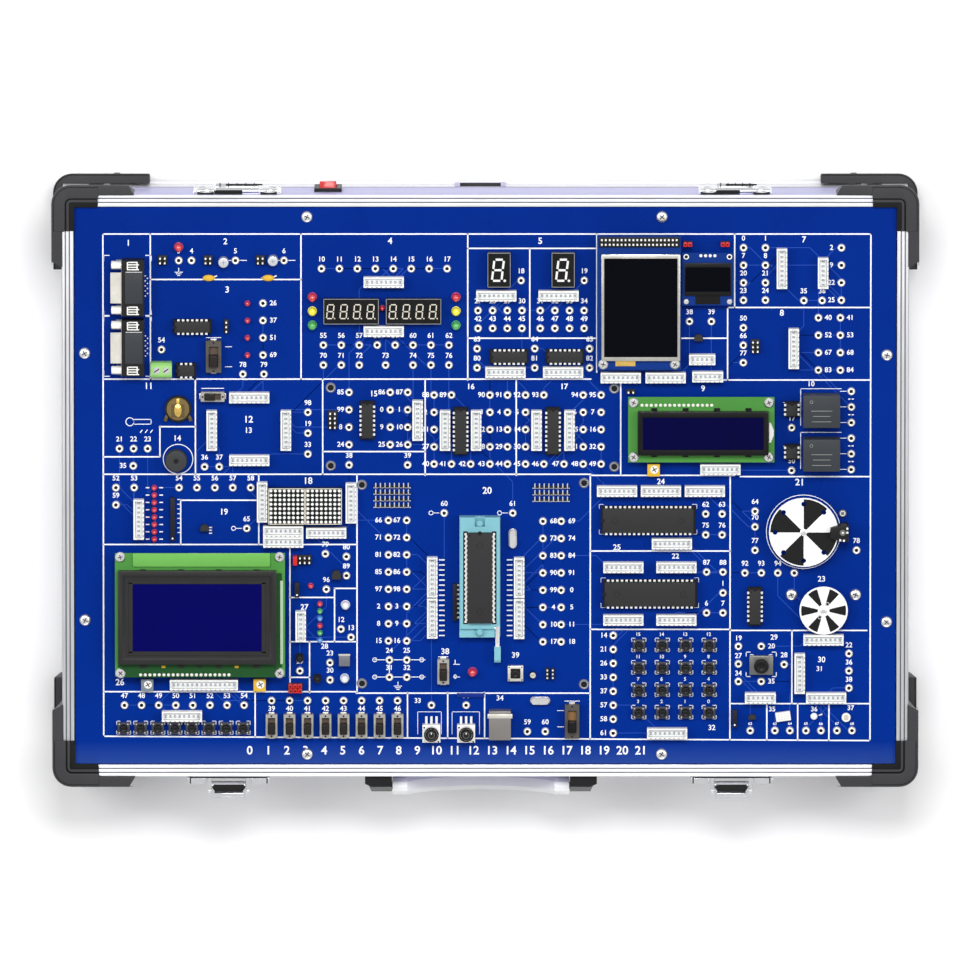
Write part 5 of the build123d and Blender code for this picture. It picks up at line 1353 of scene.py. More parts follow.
def addPortShell(parts, island):
    # metal hood and posts outside, black flange, a dark body with bright board locks at both ends
    shift = 3.0

    def portFace(spot, normal):
        return "plate" if spot.x < island.low.x + 6.1 + shift else None

    parts.carry(island, "blackPlastic", 0.3, 1, choose=portFace, bend=lambda s: Vector((s.x + shift, s.y, s.z)))
    x0, y0, top = island.low.x + shift, island.middle.y, island.high.z
    parts.block((x0 + 12.8, y0, top + 0.05), (9.6, 16.8, 0.4), "relay", 0.15)
    parts.block((x0 + 12.8, y0 + 8.9, top + 0.05), (9.0, 0.5, 0.3), "pin", 0.08)
    for end in (-1, 1):
        parts.disc((x0 + 0.4, y0 + end * 12.4, top - 4.2), 2.3, 5.8, "litPin", 20, 0.4, "X")
        for k in range(4):
            parts.block((x0 + 12.4, y0 + end * 12.3 + (k - 1.5) * 1.35, top + 0.05), (6.6 - (k % 2) * 1.6, 0.7, 0.5),
                        "litPin", 0.1)
        for k in (-1, 1):
            parts.block((x0 + 12.0 + k * 2.6, y0 + end * 12.3, top + 0.12), (0.8, 4.4, 0.5), "litPin", 0.1)
    parts.block((x0 + 7.2, y0, top - 0.05), (1.0, 30.4, 0.5), "slideKnob", 0.1)
    if y0 - caseY < 90:
        # dark discs for the port's pin holes, painted shade
        for k in range(3):
            parts.disc((x0 + 3.4, y0 + (k - 1) * 4.6, top - 3.05), 1.0, 0.3, "holeShade", 16, 0.04)
    for row, count in ((0, 5), (1, 4)):
        for k in range(count):
            parts.block((x0 + 18.9 + row * 1.2, y0 + (k - (count - 1) / 2) * 2.76, boardTop + 0.25), (0.8, 0.7, 0.5),
                        "litPin", 0.1)


def addPinStrip(parts, pins, x, y, columns, rows):
    parts.block((x, y, boardTop + 1.25), (columns * pitch, rows * pitch, 2.5), "blackPlastic", 0.2)
    for c in range(columns):
        for r in range(rows):
            pins.append((x + (c - (columns - 1) / 2) * pitch, y + (r - (rows - 1) / 2) * pitch, boardTop + 2.0, 0))


def buildBoardParts():
    parts = Piece("soldered_parts", slotName="component")
    bent, short = [], []
    for island in islandsOf("board_parts"):
        size, low, high, count = island.size, island.low.z, island.high.z, len(island.spots)
        x, my = island.middle.x, island.middle.y
        y = my - caseY

        def near(px, py, reachX=0.3, reachY=0.3):
            return abs(x - px) < reachX and abs(y - py) < reachY

        if count == 24 and abs(size.x - size.y) < 0.2 and size.x < 5.2 and high - low > 7:
            parts.spin((x, my, low), ledProfile(2.5, high - low), lampColour(x, y), 24)
        elif count == 18:
            parts.spin((x, my, low), ledProfile(1.5, high - low), lampColour(x, y), 18)
        elif size.z > 14 and size.y > 18:
            # relay with its printed side towards the sockets
            rx, ry = x + 1.2, my - 2.6
            parts.carry(island, "relay", 0.5, 2, bend=lambda s: Vector((
                rx + (s.x - x) * 1.32, ry + (s.y - my) * 0.93, s.z)))
            for dy, w in ((0.5, 11.5), (-2.4, 9.5), (-5.4, 10.5)):
                parts.block((rx, ry + dy, high + 0.02), (w, 0.25, 0.05), "relayMark", 0.01)
            parts.tube((rx - 5.6, ry + 5.4, high - 0.02), 0.9, 0.7, 0.06, "relayMark", 18, 0.01)
        elif size.y > 30:
            addPortShell(parts, island)
        elif near(8, -131):
            parts.carry(island, "usbShell", 0.35, 2)
            parts.block((x, my + 5.2, high - 0.05), (11.8, 2.2, 0.4), "plate", 0.15)
            for side in (-1, 1):
                parts.block((x + side * 6.3, my + 5.2, high - 1.2), (1.0, 2.4, 2.4), "plate", 0.2)
        elif near(-177, 64.5):
            parts.carry(island, "terminal", 0.3, 1)
            for dx in (-pitch, pitch):
                parts.disc((x + dx, my, high - 0.5), 1.95, 0.7, "steel", 20, 0.15)
                # the screw's slot is a dark bar, painted shade
                parts.block((x + dx, my, high + 0.18), (3.2, 0.6, 0.2), "holeShade", 0.03, 35)
        elif abs(size.x - 15.4) < 0.2:
            # coin cell in its ring holder
            parts.tube((x, my, low), 7.3, 6.3, 2.6, "blackPlastic", 40, 0.2)
            parts.disc((x, my, low + 0.4), 6.4, 2.2, "cellBrass", 40, 0.3)
            parts.block((x, my - 1.0, low + 2.75), (7.0, 7.0, 0.3), "cellShade", 0.1)
            parts.disc((x, my - 0.6, low + 2.8), 2.1, 0.5, "gold", 24, 0.2, scale=(1, 1.7, 1))
            parts.block((x, my + 3.6, low + 3.0), (1.5, 4.2, 0.5), "gold", 0.15)
            for side in (-1, 1):
                parts.block((x + side * 6.5, my - 5.2, low + 1.4), (1.8, 3.4, 2.4), "cellShade", 0.3, side * 20)
        elif abs(size.x - 12) < 0.1 and size.z > 9:
            parts.spin((x, my, low), [(0, 0), (5.7, 0), (5.95, 0.3), (5.95, 8.7), (5.6, 9.3), (4.9, 9.5),
                                                    (1.5, 9.35), (1.25, 8.7), (0, 8.6)], "buzzer", 40)
            # a dark disc in the buzzer's sound hole, painted shade
            parts.disc((x, my, low + 8.5), 1.1, 0.3, "holeShade", 20, 0.05)
        elif count == 24 and size.x > 6:
            # aluminium can capacitor with its scored top
            r, h = size.x / 2 * 0.9, high - low
            cx, cy = (x + 2.0, my - 4.6) if x > -130 else (x, my)
            parts.spin((cx, cy, low), [(0, 0), (r * 0.93, 0), (r, 0.35), (r, 0.9), (r * 0.9, 1.2), (r, 1.5),
                                       (r, h - 0.5), (r * 0.9, h - 0.05), (r * 0.8, h), (0, h - 0.1)], "sleeve", 28)
            # the scores on the top are dark steel bars, painted shade in the grooves
            for turn in (0, 90):
                parts.block((cx, cy, h + low - 0.1), (r * 1.3, 0.18, 0.12), "darkSteel", 0.03, turn)
        elif count == 24:
            # a small disc capacitor on its two legs
            finish = "yellowPart" if x < 0 else "clear"
            stretch = (1.35, 0.72, 1) if x < 0 else (0.8, 0.8, 1)
            slide = 2.4 if abs(x + 121) < 1 else 0.4
            parts.spin((x + slide, my, low + 1.6), [(0, -0.9), (1.6, -0.8), (2.3, -0.35), (2.45, 0),
                                                    (2.3, 0.35), (1.6, 0.8), (0, 0.9)], finish, 24,
                       scale=stretch)
            parts.block((x + slide + 3.6, my + 0.8, low + 0.9), (2.2, 0.7, 0.7), "litPin", 0.1, 20)
            for dx in (-1.3, 1.3):
                parts.leg(x + dx, my, low, low + 1.2, 0.28)
        elif size.x > 20 and size.y >= 9.9 and size.z > 8:
            columns, rows = 8, (4 if size.y > 12 else 3)
            for r in range(rows):
                py = my + (r - (rows - 1) / 2) * 3.6
                parts.block((x, py - 0.6, low + 1.0), (size.x - 0.4, 1.0, 2.0), "blackPlastic", 0.15)
                parts.block((x, py - 1.5, boardTop + 0.03), (size.x, 0.55, 0.05), "silk", 0)
                for c in range(columns):
                    bent.append((x + (c - (columns - 1) / 2) * pitch, py - 0.6, low + 1.6, 0))
        elif abs(size.x - 6.8) < 0.1 and abs(size.y - 6.8) < 0.1:
            # trimmer with its slotted white screw
            parts.carry(island, "blueTrimmer" if x < -150 else "yellowPart", 0.4)
            parts.disc((x + 0.4, my + 0.4, high - 0.3), 2.2, 0.5, "white", 28, 0.1)
            # the screw's slot is drawn as dark raised bars: painted shade
            for w, h in ((3.2, 0.6), (0.6, 3.2)):
                parts.block((x + 0.4, my + 0.4, high + 0.16), (w, h, 0.12), "slotFloor", 0.03, 30)
        elif size.z > 8.2 and (abs(size.y - 2.5) < 0.1 or abs(x + 104) < 0.3):
            # red links pushed over a black strip
            parts.block((x, my, low + 1.25), (size.x, size.y, 2.5), "blackPlastic", 0.2)
            links = 2 if size.x < 6 else 3
            rows = 1 if size.y < 3 else 2
            for k in range(links):
                for r in range(rows):
                    px = x + (k - (links - 1) / 2) * pitch
                    py = my + (r - (rows - 1) / 2) * pitch
                    parts.block((px, py, low + 5.4), (2.3, 2.3, 5.8), "redPlastic", 0.3)
                    # a dark square in each link's hole, painted shade
                    parts.block((px, py, high - 0.04), (0.9, 0.9, 0.12), "holeShade", 0.03)
        elif size.z > 7 and min(size.x, size.y) < 5.2 and size.z < 8.2 and max(size.x, size.y) < 12 \
                and abs(x + 73.5) > 0.3:
            # bare pin strips; the two of the supply stand a little nearer their sockets
            columns, rows = max(1, round(size.x / 2.6)), max(1, round(size.y / 2.6))
            px, py = x, my
            if y > 127 and x < -145:
                px, py, rows = px + (1.7 if x < -165 else 0.5), py - 7.1, 2
            if near(-103, -40.5, 2, 3):
                px += 4.2
                parts.block((px - 5.2, py, low + 4.2), (2.4, 5.0, 8.0), "redPlastic", 0.3)
            addPinStrip(parts, short, px, py, columns, rows)
        elif (abs(size.x - 4.5) < 0.1 and size.y > 10) or (abs(size.y - 4.5) < 0.1 and size.x > 10):
            # metal crystal can: a rounded lozenge on a thin foot
            long = island.long
            reach = size[long] / 2 - 2.25
            for r, z0, z1, edge in ((2.25, 0, 0.5, 0.1), (1.9, 0.5, 3.9, 0.3)):
                outline = []
                for turn in around(24):
                    spot = [x + r * math.cos(turn), my + r * math.sin(turn)]
                    spot[long] += reach if (math.cos, math.sin)[long](turn) > 0 else -reach
                    outline.append(spot)
                parts.plate(outline, low + z0, low + z1, "steel", edge)
        elif abs(x - 163) < 0.3:
            lean = Matrix.Rotation(math.radians(8), 3, "Z")
            middle = island.middle
            parts.carry(island, "white", 0.3, bend=lambda s: middle + lean @ Vector((
                (s.x - x) * 0.74, (s.y - my) * 0.64, s.z - middle.z)))
            for r in range(3):
                for c in range(4):
                    spot = lean @ Vector(((c - 1.5) * 1.6, (r - 1) * 1.35, 0))
                    parts.block((x + spot.x, my + spot.y, high - 0.03), (0.9, 0.6, 0.1), "shellShade", 0.02, 8)
        elif abs(x + 73.5) < 0.3:
            parts.carry(island, "sensorBlock", 0.3, bend=lambda s: Vector((s.x - 3.6, s.y - 2.7, s.z)))
            parts.spin((x - 3.6, my - 2.7, high - 1.4), [(0, 0), (2.2, 0), (2.1, 0.6), (1.5, 1.15), (0, 1.38)],
                       "relay", 24)
            parts.block((x - 3.6, my + 0.6, high - 0.05), (6.4, 1.0, 0.2), "plate", 0.05)
        elif size.x < 3.2 and x < 30:
            # small can capacitor by the reset key
            parts.disc((x, my, low), 1.9, 4.6, "blackPlastic", 20, 0.2)
            parts.disc((x, my, low + 4.55), 1.6, 0.2, "plate", 20, 0.08)
            # a dark line on the top plate, painted shade in its score
            parts.block((x, my, low + 4.8), (2.0, 0.2, 0.1), "holeShade", 0.03, 20)
        elif size.x < 3.2:
            for side in (-1, 1):
                parts.block((x + side * 1.5 - 0.6, my + 0.6, low + 1.25), (1.9, 6.4, 2.5), "blackPlastic", 0.2)
                for k in (-1, 0, 1):
                    parts.block((x + side * 1.5 - 0.6, my + 0.6 + k * 2.1, low + 3.4), (0.9, 0.8, 4.0), "litPin",
                                0.12)
        elif abs(x - 197.5) < 0.3:
            parts.disc((x, my - 0.6, low), 2.45, 2.6, "litSegment", 28, 0.25)
            parts.disc((x, my - 0.6, low + 2.55), 1.5, 0.12, "creamPlastic", 24, 0.04)
            for k in range(4):
                parts.block((x, my - 0.6 + (k - 1.5) * 0.7, low + 2.68), (2.0, 0.2, 0.08), "relayMark", 0.02)
        elif near(114.4, 85, 2, 4):
            addPinStrip(parts, short, x, my + 2.2, 3, 1)
        elif near(197, -13, 1.6, 2.5):
            parts.disc((x - 1.6, my - 2.0, low), 2.1, 2.4, "stickBase", 24, 0.3)
            parts.tube((x - 1.6, my - 2.0, low + 2.3), 1.5, 1.0, 0.2, "litPin", 24, 0.05)
        else:
            # three-legged part with a flat face
            my += 3.3 if near(-153.4, -27, 2, 4) else 0
            r, half = size.x / 2, size.y / 2
            outline = [(x + r * math.cos(a), min(my - 0.5 + half * 1.24 * math.sin(a), my + half))
                       for a in [math.pi * k / 10 for k in range(11)]]
            outline += [(x - r, my - half), (x + r, my - half)]
            parts.plate(outline, low + 1.4, high, "chip", 0.15)
            for k in (-1, 0, 1):
                parts.leg(x + k * 1.27, my, low, low + 1.6, 0.25)
    # a resistor pack beside the processor's socket
    px, py, pz = deck(-16.6, -63.7)
    parts.block((px, py, pz + 2.5), (2.4, 20.3, 5.0), "blackPlastic", 0.25)
    for k in range(8):
        parts.block((px + 1.9, py + (k - 3.5) * pitch, pz + 0.05), (1.6, 1.0, 0.1), "litPin", 0.02)
    addPinStrip(parts, short, *deck(-122.9, 124.4)[:2], 2, 2)
    parts.done("board_parts", smooth=40)
    stampOn("bent_header_pins", bent, drawBentPin, "pin")
    stampOn("bare_header_pins", short, lambda p: p.block((0, 0, 3.0), (0.9, 0.9, 6.0), "litPin", 0.2), "litPin")
    print("board parts done")


def drawBentPin(piece):
    # up from the strip, then over towards the back
    piece.block((0, 0, 1.3), (0.64, 0.64, 2.6), "pin", 0.08)
    piece.block((0, 1.0, 2.6), (0.64, 2.6, 0.64), "pin", 0.12)


# ---- motors ----
def buildMotors():
    parts = Piece("motors_and_fork", slotName="motor")
    ears = []
    for island in islandsOf("drive_motors"):
        middle, size, high = island.middle, island.size, island.high.z
        if size.z > 14 and size.x < 11:
            # fork: narrow arms over the disc, a wider foot with its leads and a grey round mark; the leads and the dot
            # on the mark are drawn in the brighter pin metal, a painted highlight
            parts.carry(island, "blackPlastic", 0.35, bend=lambda s: Vector((
                s.x, middle.y + (s.y - middle.y) * (0.46 if s.x < middle.x - 1 else 0.74), s.z)))
            parts.disc((middle.x + 1.8, middle.y + 0.4, high - 0.1), 1.7, 0.5, "stickBase", 24, 0.12)
            parts.disc((middle.x + 1.8, middle.y + 0.4, high + 0.35), 0.6, 0.2, "litPin", 16, 0.05)
            for dx, dy in ((4.3, 2.6), (4.3, 0.4), (0.4, -3.8), (2.4, -4.0)):
                parts.block((middle.x + dx, middle.y + dy, high - 0.2), (1.1, 1.1, 0.7), "litPin", 0.2)
        elif size.z < 3:
            ears.append(middle)
        else:
            parts.carry(island, "motorCan", 0.4)
    parts.done("drive_motors")
    addPanHeads("stepper", ears, 11, "holeShade")
    for name, finish in (("dc_motor_disc", "dcDisc"), ("step_motor_disc", "stepDisc")):
        wheel = Piece(name + "_wheel", name, "disc")
        island = islandsOf(name)[0]
        x, y, top = island.middle.x, island.middle.y, island.high.z

        def wheelFace(spot, normal):
            return "steel" if math.hypot(spot.x - x, spot.y - y) < 3.0 and spot.z < top - 0.1 else None
        wheel.carry(island, finish, 0.06, 1, choose=wheelFace)
        wheel.spin((x, y, top - 0.05), [(0, 0), (1.9, 0), (1.9, 0.25), (1.4, 0.45), (1.05, 0.5), (1.0, 0.9), (0, 0.95)],
                   "steel", 24)
        if name == "step_motor_disc":
            for turn in around(2, math.radians(60)):
                wheel.tube((x + 4.2 * math.cos(turn), y + 4.2 * math.sin(turn), top - 0.02), 1.1, 0.7, 0.12, "steel",
                           20, 0.03)
        wheel.done(name)
    print("motors done")


# ---- carrying handle and latch levers ----
def buildHandle():
    handle = Piece("carrying_handle_grip", "carrying_handle", "handle")
    island = islandsOf("carrying_handle")[0]
    middle, grip = island.middle.x, 49
    handle.carry(island, "grip", 1.1, 3, angle=24,
                 choose=lambda spot, normal: "blackPlastic" if abs(spot.x - middle) > grip else None)
    handle.done("carrying_handle", smooth=45)
    for name in ("left_latch", "right_latch"):
        lever = Piece(name + "_lever", name, "latch")
        island = islandsOf(name)[0]
        x, near, far, high = island.middle.x, island.high.y, island.low.y, island.high.z

        def leverFace(spot, normal):
            # top faces in the lever's hollow are painted dark: painted shade
            return "holeShade" if normal.z > 0.8 and spot.y > far + 3 and abs(spot.x - x) < 8 else None
        lever.carry(island, "chrome", 0.3, choose=leverFace)
        for side in (-1, 1):
            lever.block((x + side * 8.75, (near + far) / 2 - 0.6, high - 2.3), (0.9, near - far - 1.8, 4.2),
                        "chrome", 0.25)
        lever.block((x, far + 1.5, high - 2.2), (18.0, 2.7, 4.2), "chrome", 0.4)
        # a dark line behind the lip: painted shade
        lever.block((x, far + 3.0, high - 0.1), (16.4, 0.35, 0.2), "darkSteel", 0.05)
        lever.done(name)
    print("handle and latches done")


# ---- white print on the board ----
printed = {"line": 0.75, "thick": 0.05, "lift": 0.03, "frame": [
    (-183, 138.5, -183, 58.7), (-100.7, 138.5, -100.7, 58.7), (-9.6, 138.5, -9.6, 58.2),
    (24.3, 130.7, 24.3, 81.4), (60.9, 138.5, 60.9, 62.6), (136.2, 138.5, 136.2, 98.1),
    (132.4, 98.1, 132.4, 58.2), (-158.5, 58.7, -158.5, 6.4), (-177.9, 32.7, -177.9, 16.1),
    (-88.9, 58.7, -88.9, 6.3), (-32.9, 58.2, -32.9, 5.8), (16.9, 58.2, 16.9, 5.8), (74, 56, 74, 6.1),
    (57.4, 5.5, 57.4, -139.6), (133.9, 5.5, 133.9, -140.2), (-123.9, 6.1, -123.9, -32.1),
    (-166.6, -7.8, -166.6, -32.1), (-70.2, 5.8, -70.2, -114.1), (-106.9, -32.7, -106.9, -113.6),
    (-82.5, -56.5, -82.5, -85.9), (-96.2, -85.9, -96.2, -114.1), (-126, -113.6, -126, -138.5),
    (-42.6, -114.1, -42.6, -138.5), (-20.6, -114.1, -20.6, -139.1), (-0.4, -114.1, -0.4, -139.1),
    (167.8, -79.8, 167.8, -120.2), (154.1, -120.2, 154.1, -140.2), (171, -120.2, 171, -140.2),
    (188.1, -120.2, 188.1, -140.4), (-183, 113.5, -100.6, 113.5), (-208.6, 58.7, -159, 58.7),
    (-159, 58.7, 57.6, 58.7), (-9.5, 130.6, 60.3, 130.6), (-9.5, 81.2, 60.3, 81.2),
    (132.4, 98.1, 209.8, 98.1), (107.3, 81.2, 131.8, 81.2), (129.6, 58.2, 209.8, 58.2),
    (-178.1, 32.5, -158.4, 32.5), (-208.6, 15.9, -178.1, 15.9), (-208.6, 6.3, 57.6, 6.3),
    (-88.6, 18.8, -33, 18.8), (57.1, 5.7, 136.2, 5.7), (139.4, 5, 209.8, 5), (-166.6, -8, -124.6, -8),
    (-208.6, -32.4, -70.6, -32.4), (57.6, -36, 134, -36), (-107.1, -61.6, -83.1, -61.6),
    (-82.6, -56.6, -70.6, -56.6), (-107.1, -86, -70.6, -86), (-107.1, -105.7, -96.2, -105.7),
    (57.6, -79.2, 134, -79.2), (134, -79.8, 208.7, -79.8), (-208.6, -113.6, -70.6, -113.6),
    (-70.6, -114.4, 57.1, -114.4), (134.5, -120.2, 209.8, -120.2), (-208.9, 138.5, 210.6, 138.5),
    (-208.9, 138.5, -208.9, -138.2), (210.6, 138.5, 210.6, -140.6), (-208.9, -138.2, 210.6, -140.6)]}


def addLine(ink, x1, y1, x2, y2, width=printed["line"], finish="silk", lift=printed["lift"]):
    ink.bar(deck(x1, y1, boardTop + lift), deck(x2, y2, boardTop + lift), width, printed["thick"], finish)


def addRing(ink, x, y, radius, width=0.45):
    ink.tube(deck(x, y, boardTop + 0.005), radius + width / 2, radius - width / 2, 0.05, "silk", 40, 0.005)


def addBracket(ink, x, y, w, h, reach=2.2, width=0.45):
    # four printed corners round a part
    for sx, sy in fourWays:
        cx, cy = x + sx * w / 2, y + sy * h / 2
        addLine(ink, cx, cy, cx - sx * reach, cy, width)
        addLine(ink, cx, cy, cx, cy - sy * reach, width)


def addBox(ink, x, y, w, h, width=0.45):
    for x1, y1, x2, y2 in ((-1, -1, 1, -1), (1, -1, 1, 1), (1, 1, -1, 1), (-1, 1, -1, -1)):
        addLine(ink, x + x1 * w / 2, y + y1 * h / 2, x + x2 * w / 2, y + y2 * h / 2, width)


def addGround(ink, x, y):
    addLine(ink, x, y + 2.2, x, y, 0.4)
    for k, w in enumerate((4.0, 2.6, 1.2)):
        addLine(ink, x - w / 2, y - k * 0.9, x + w / 2, y - k * 0.9, 0.4)


def buildPrint():
    ink = Piece("white_print", slotName="board")
    for ends in printed["frame"]:
        addLine(ink, *ends)
    for c in range(4):
        for r in range(4):
            addBracket(ink, 84 + c * 12.85, -87.8 - r * 12.35, 7.9, 7.5, 1.9, 0.35)
    for k in range(8):
        addBracket(ink, -198 + k * 9.35, -133.5, 7.7, 7.3, 1.9, 0.35)
    for x, y, w in ((-23, -94.3, 5), (47.5, -118.8, 8), (-148.5, 81.5, 8), (-149, 53.6, 12)):
        addLine(ink, x - w / 2, y, x + w / 2, y, 0.4)
    for x, y in ((39.5, -124), (39.5, -133), (-142, 76.5), (-142, 65.5), (-17.5, -98.5), (-17.5, -105.5)):
        addLine(ink, x, y, x + 3.4, y, 0.35)
    addBracket(ink, 151, -98.5, 16.5, 13.5)
    addRing(ink, -168, 14.7, 8.1)
    for dy in (-1.6, 0, 1.6):
        addLine(ink, -150.8, -24.6 + dy, -149.8, -24.6 + dy, 0.6)
    addRing(ink, 174, -25.4, 20.3, 0.4)
    # frames round the two turning knobs
    for x1, x2 in ((-37.0, -24.1), (-18.2, -3.2)):
        addLine(ink, x1, -124.7, x2, -124.7, 0.3)
        addLine(ink, x1, -124.7, x1, -137, 0.3)
        addLine(ink, x2, -124.7, x2, -137, 0.3)
    for y in (43.4, 19.4):
        addLine(ink, 172.4, y - 10, 172.4, y + 10, 0.35)
        addLine(ink, 172.4, y + 10, 194.6, y + 10, 0.35)
        addLine(ink, 162.8, y + 2.4, 171.6, y + 2.4, 0.3)
    # crystal lying by the clock, drawn on the board, and rows of pads by the packs
    addRing(ink, -194.3, 35.2, 2.2, 0.45)
    addBox(ink, -187.4, 35.2, 9.4, 2.6, 0.4)
    for k in range(3):
        addLine(ink, -188.6 + k * 2.8, 29.4, -187.6 + k * 2.8, 30.6, 0.5)
    for k in range(8):
        addLine(ink, -185.4, -1.1 - k * 4.05, -184.0, -1.1 - k * 4.05, 0.6)
        addLine(ink, -178.0, -1.1 - k * 4.05, -176.6, -1.1 - k * 4.05, 0.6)
        addLine(ink, -168.2, -7.6 - k * 2.6, -167.2, -7.6 - k * 2.6, 0.5)
    for y in (110, 77):
        addBracket(ink, -195.5, y, 26, 33.5, 3)
    for island in islandsOf("chip_packages"):
        m, s = island.middle, island.size
        if island.low.z < boardTop + 1 and min(s.x, s.y) > 3 and max(s.x, s.y) > 40:
            addBracket(ink, m.x, m.y - caseY, s.x + 1.8, s.y + 1.2, 2.4, 0.25)
    # power rows under the processor and the lines that join them
    for y in (-96, -105.5):
        addLine(ink, -60.5, y, -33, y, 0.4)
        for x in (-60.5, -34.8):
            addRing(ink, x, y, 1.1, 0.4)
    addLine(ink, -52.5, -97, -52.5, -104.5, 0.4)
    addGround(ink, -47.8, -110.5)
    addGround(ink, -167.5, 117.5)
    for x, y in ((-136.5, 124), (-110, 124)):
        addLine(ink, x - 6, y, x + 6, y, 0.4)
    for y in (52, 43.4, 34.8, 26.2, 17.6, 9):
        addLine(ink, 194, y, 197.4, y, 0.35)
    for x, y in ((-22.5, -15), (15, -15), (-130.5, -23.5)):
        addLine(ink, x - 6, y, x - 2.8, y, 0.35)
        addRing(ink, x - 7.2, y, 1.1, 0.4)
    for y in (47.7, 39.1, 21.9, 13.3):
        for dx in (-0.9, 0.9):
            addLine(ink, 199.9 + dx - 0.3, y, 199.9 + dx + 0.3, y, 0.6)
    # comb of pads beside the processor's tall connectors
    for x in (-29, 18.5):
        for k in range(16):
            y, side = -40.9 - k * 2.78, 1 if x < 0 else -1
            addLine(ink, x + side * 4.0, y, x + side * 6.4, y, 0.7)
    ink.done(smooth=20)
    print("print lines done")


# ---- plain numerals ----
numeralZones = (
    # x from, y from, x to, y to, shift of the number from its socket
    (-130, 66, -118, 106, (5.6, 0)), (-200, 6, -185, 16, (-5.6, 0)), (-122, -123, -40, -115, (0, -4.5)),
    (-58, -90, -38, -12, (-5.4, 0)), (27, -92, 46, -12, (5.8, 0)), (194, 4, 206, 56, (0, 0)),
    (66, -140, 74, -78, (-5.2, 0)), (190, 100, 200, 136, (-5.4, 0)), (180, 60, 198, 96, (5.4, 0)),
    (-78, 18, -38, 56, (-4.6, 0)), (-30, 8, 16, 54, (-4.6, 0)), (18, 8, 72, 54, (-4.6, 0)),
    (196, -116, 202, -88, (0, 4.6)), (135, -112, 142, -84, (0, 4.4)), (150, -112, 154, -84, (5.6, 0)),
    (86, -50, 110, -30, (0, 4.6)), (-34, -124, -24, -112, (0, 0)),
)
titlePlaces = (
    # x, y and height of the numbers of the board's fields; a height of 0 leaves the number out
    (-195, 133.5, 3.2), (-142, 134.3, 3.2), (-141, 107.8, 3.4), (-52, 134.6, 3.4), (30, 134.6, 3.4),
    (121.5, 136.0, 0), (174, 135.4, 3.2), (162, 95, 3.2), (119, 53.4, 3.2), (178, 56.0, 2.8),
    (-184, 54.8, 3.4), (-129.5, 36.4, 3.6), (-129.5, 30.4, 3.0), (-168.5, 26, 3.0), (-61, 50.6, 3.0),
    (-8, 54.5, 3.0), (43, 54.5, 3.0),
    (-97, 2.6, 3.6), (-143, -14.5, 3.2), (1, -2.8, 3.6), (172, 1.8, 3.6), (104, -38.9, 2.8), (184, -51.5, 3.0),
    (96, 2.2, 3.0), (72, -34, 3.0), (-200, -108.5, 3.4), (-99, -67, 3.0), (-88, -88.6, 2.8), (158, -83.6, 2.8),
    (184, -96, 3.0), (183, -101, 2.6), (124, -133.5, 2.8), (-37, -118.6, 2.6), (8, -117.2, 2.8),
    (157, -123.3, 2.6), (180, -123.3, 2.6), (200, -122.6, 2.6), (-22, -91.5, 3.2), (16.5, -93.5, 3.0),
)


def glyphOf(text):
    # a flat mesh of one number, one unit high, centred
    curve = bpy.data.curves.new("number", "FONT")
    curve.body = text
    curve.align_x, curve.align_y = "CENTER", "CENTER"
    curve.resolution_u = 3
    curve.offset = 0.018
    holder = link("number", curve)
    flat = meshOf(holder)
    bpy.data.objects.remove(holder)
    shape = ([tuple(v.co) for v in flat.vertices], [list(p.vertices) for p in flat.polygons])
    bpy.data.meshes.remove(flat)
    bpy.data.curves.remove(curve)
    return shape


def buildNumerals(sockets):
    glyphs = {}
    verts, faces = [], []

    def put(number, x, y, height):
        text = str(number)
        if text not in glyphs:
            glyphs[text] = glyphOf(text)
        spots, polygons = glyphs[text]
        start, size = len(verts), height / 0.7
        verts.extend(((x + vx * size) * mm, (y + caseY + vy * size) * mm, (boardTop + 0.06) * mm)
                     for vx, vy, vz in spots)
        faces.extend([start + k for k in polygon] for polygon in polygons)

    order = sorted(sockets, key=lambda p: (round(-p[1] / 6), p[0]))
    for number, (x, sy) in enumerate(order):
        y = sy - caseY
        shift = (0, 5.1)
        for x0, y0, x1, y1, move in numeralZones:
            if x0 <= x <= x1 and y0 <= y <= y1:
                shift = move
        tiny = y < -131 and x > 135
        if shift != (0, 0):
            put(number % 100, x + shift[0], y + (3.7 if tiny else shift[1]), 1.5 if tiny else 2.7)
    for number, (x, y, height) in enumerate(titlePlaces):
        if height:
            put(number + 1, x, y, height)
    for k in range(22):
        put(k, -129 + k * 10.2, -146.2, 4.6)
    for number, y in ((1, -97.4), (0, -105.4)):
        put(number, -16.5, y, 2.4)
    for c in range(4):
        for r in range(4):
            put(15 - r * 4 - c, 83.6 + c * 12.85, -82.0 - r * 12.35, 1.9)
    data = bpy.data.meshes.new("plain_numbers")
    data.from_pydata(verts, [], faces)
    data.materials.append(finishes["silk"])
    flat = bmesh.new()
    flat.from_mesh(data)
    for face in flat.faces:
        face.normal_update()
        if face.normal.z < 0:
            face.normal_flip()
    flat.to_mesh(data)
    flat.free()
    settle(data, "plain_numbers", "case")
    print("numbers:", len(faces))


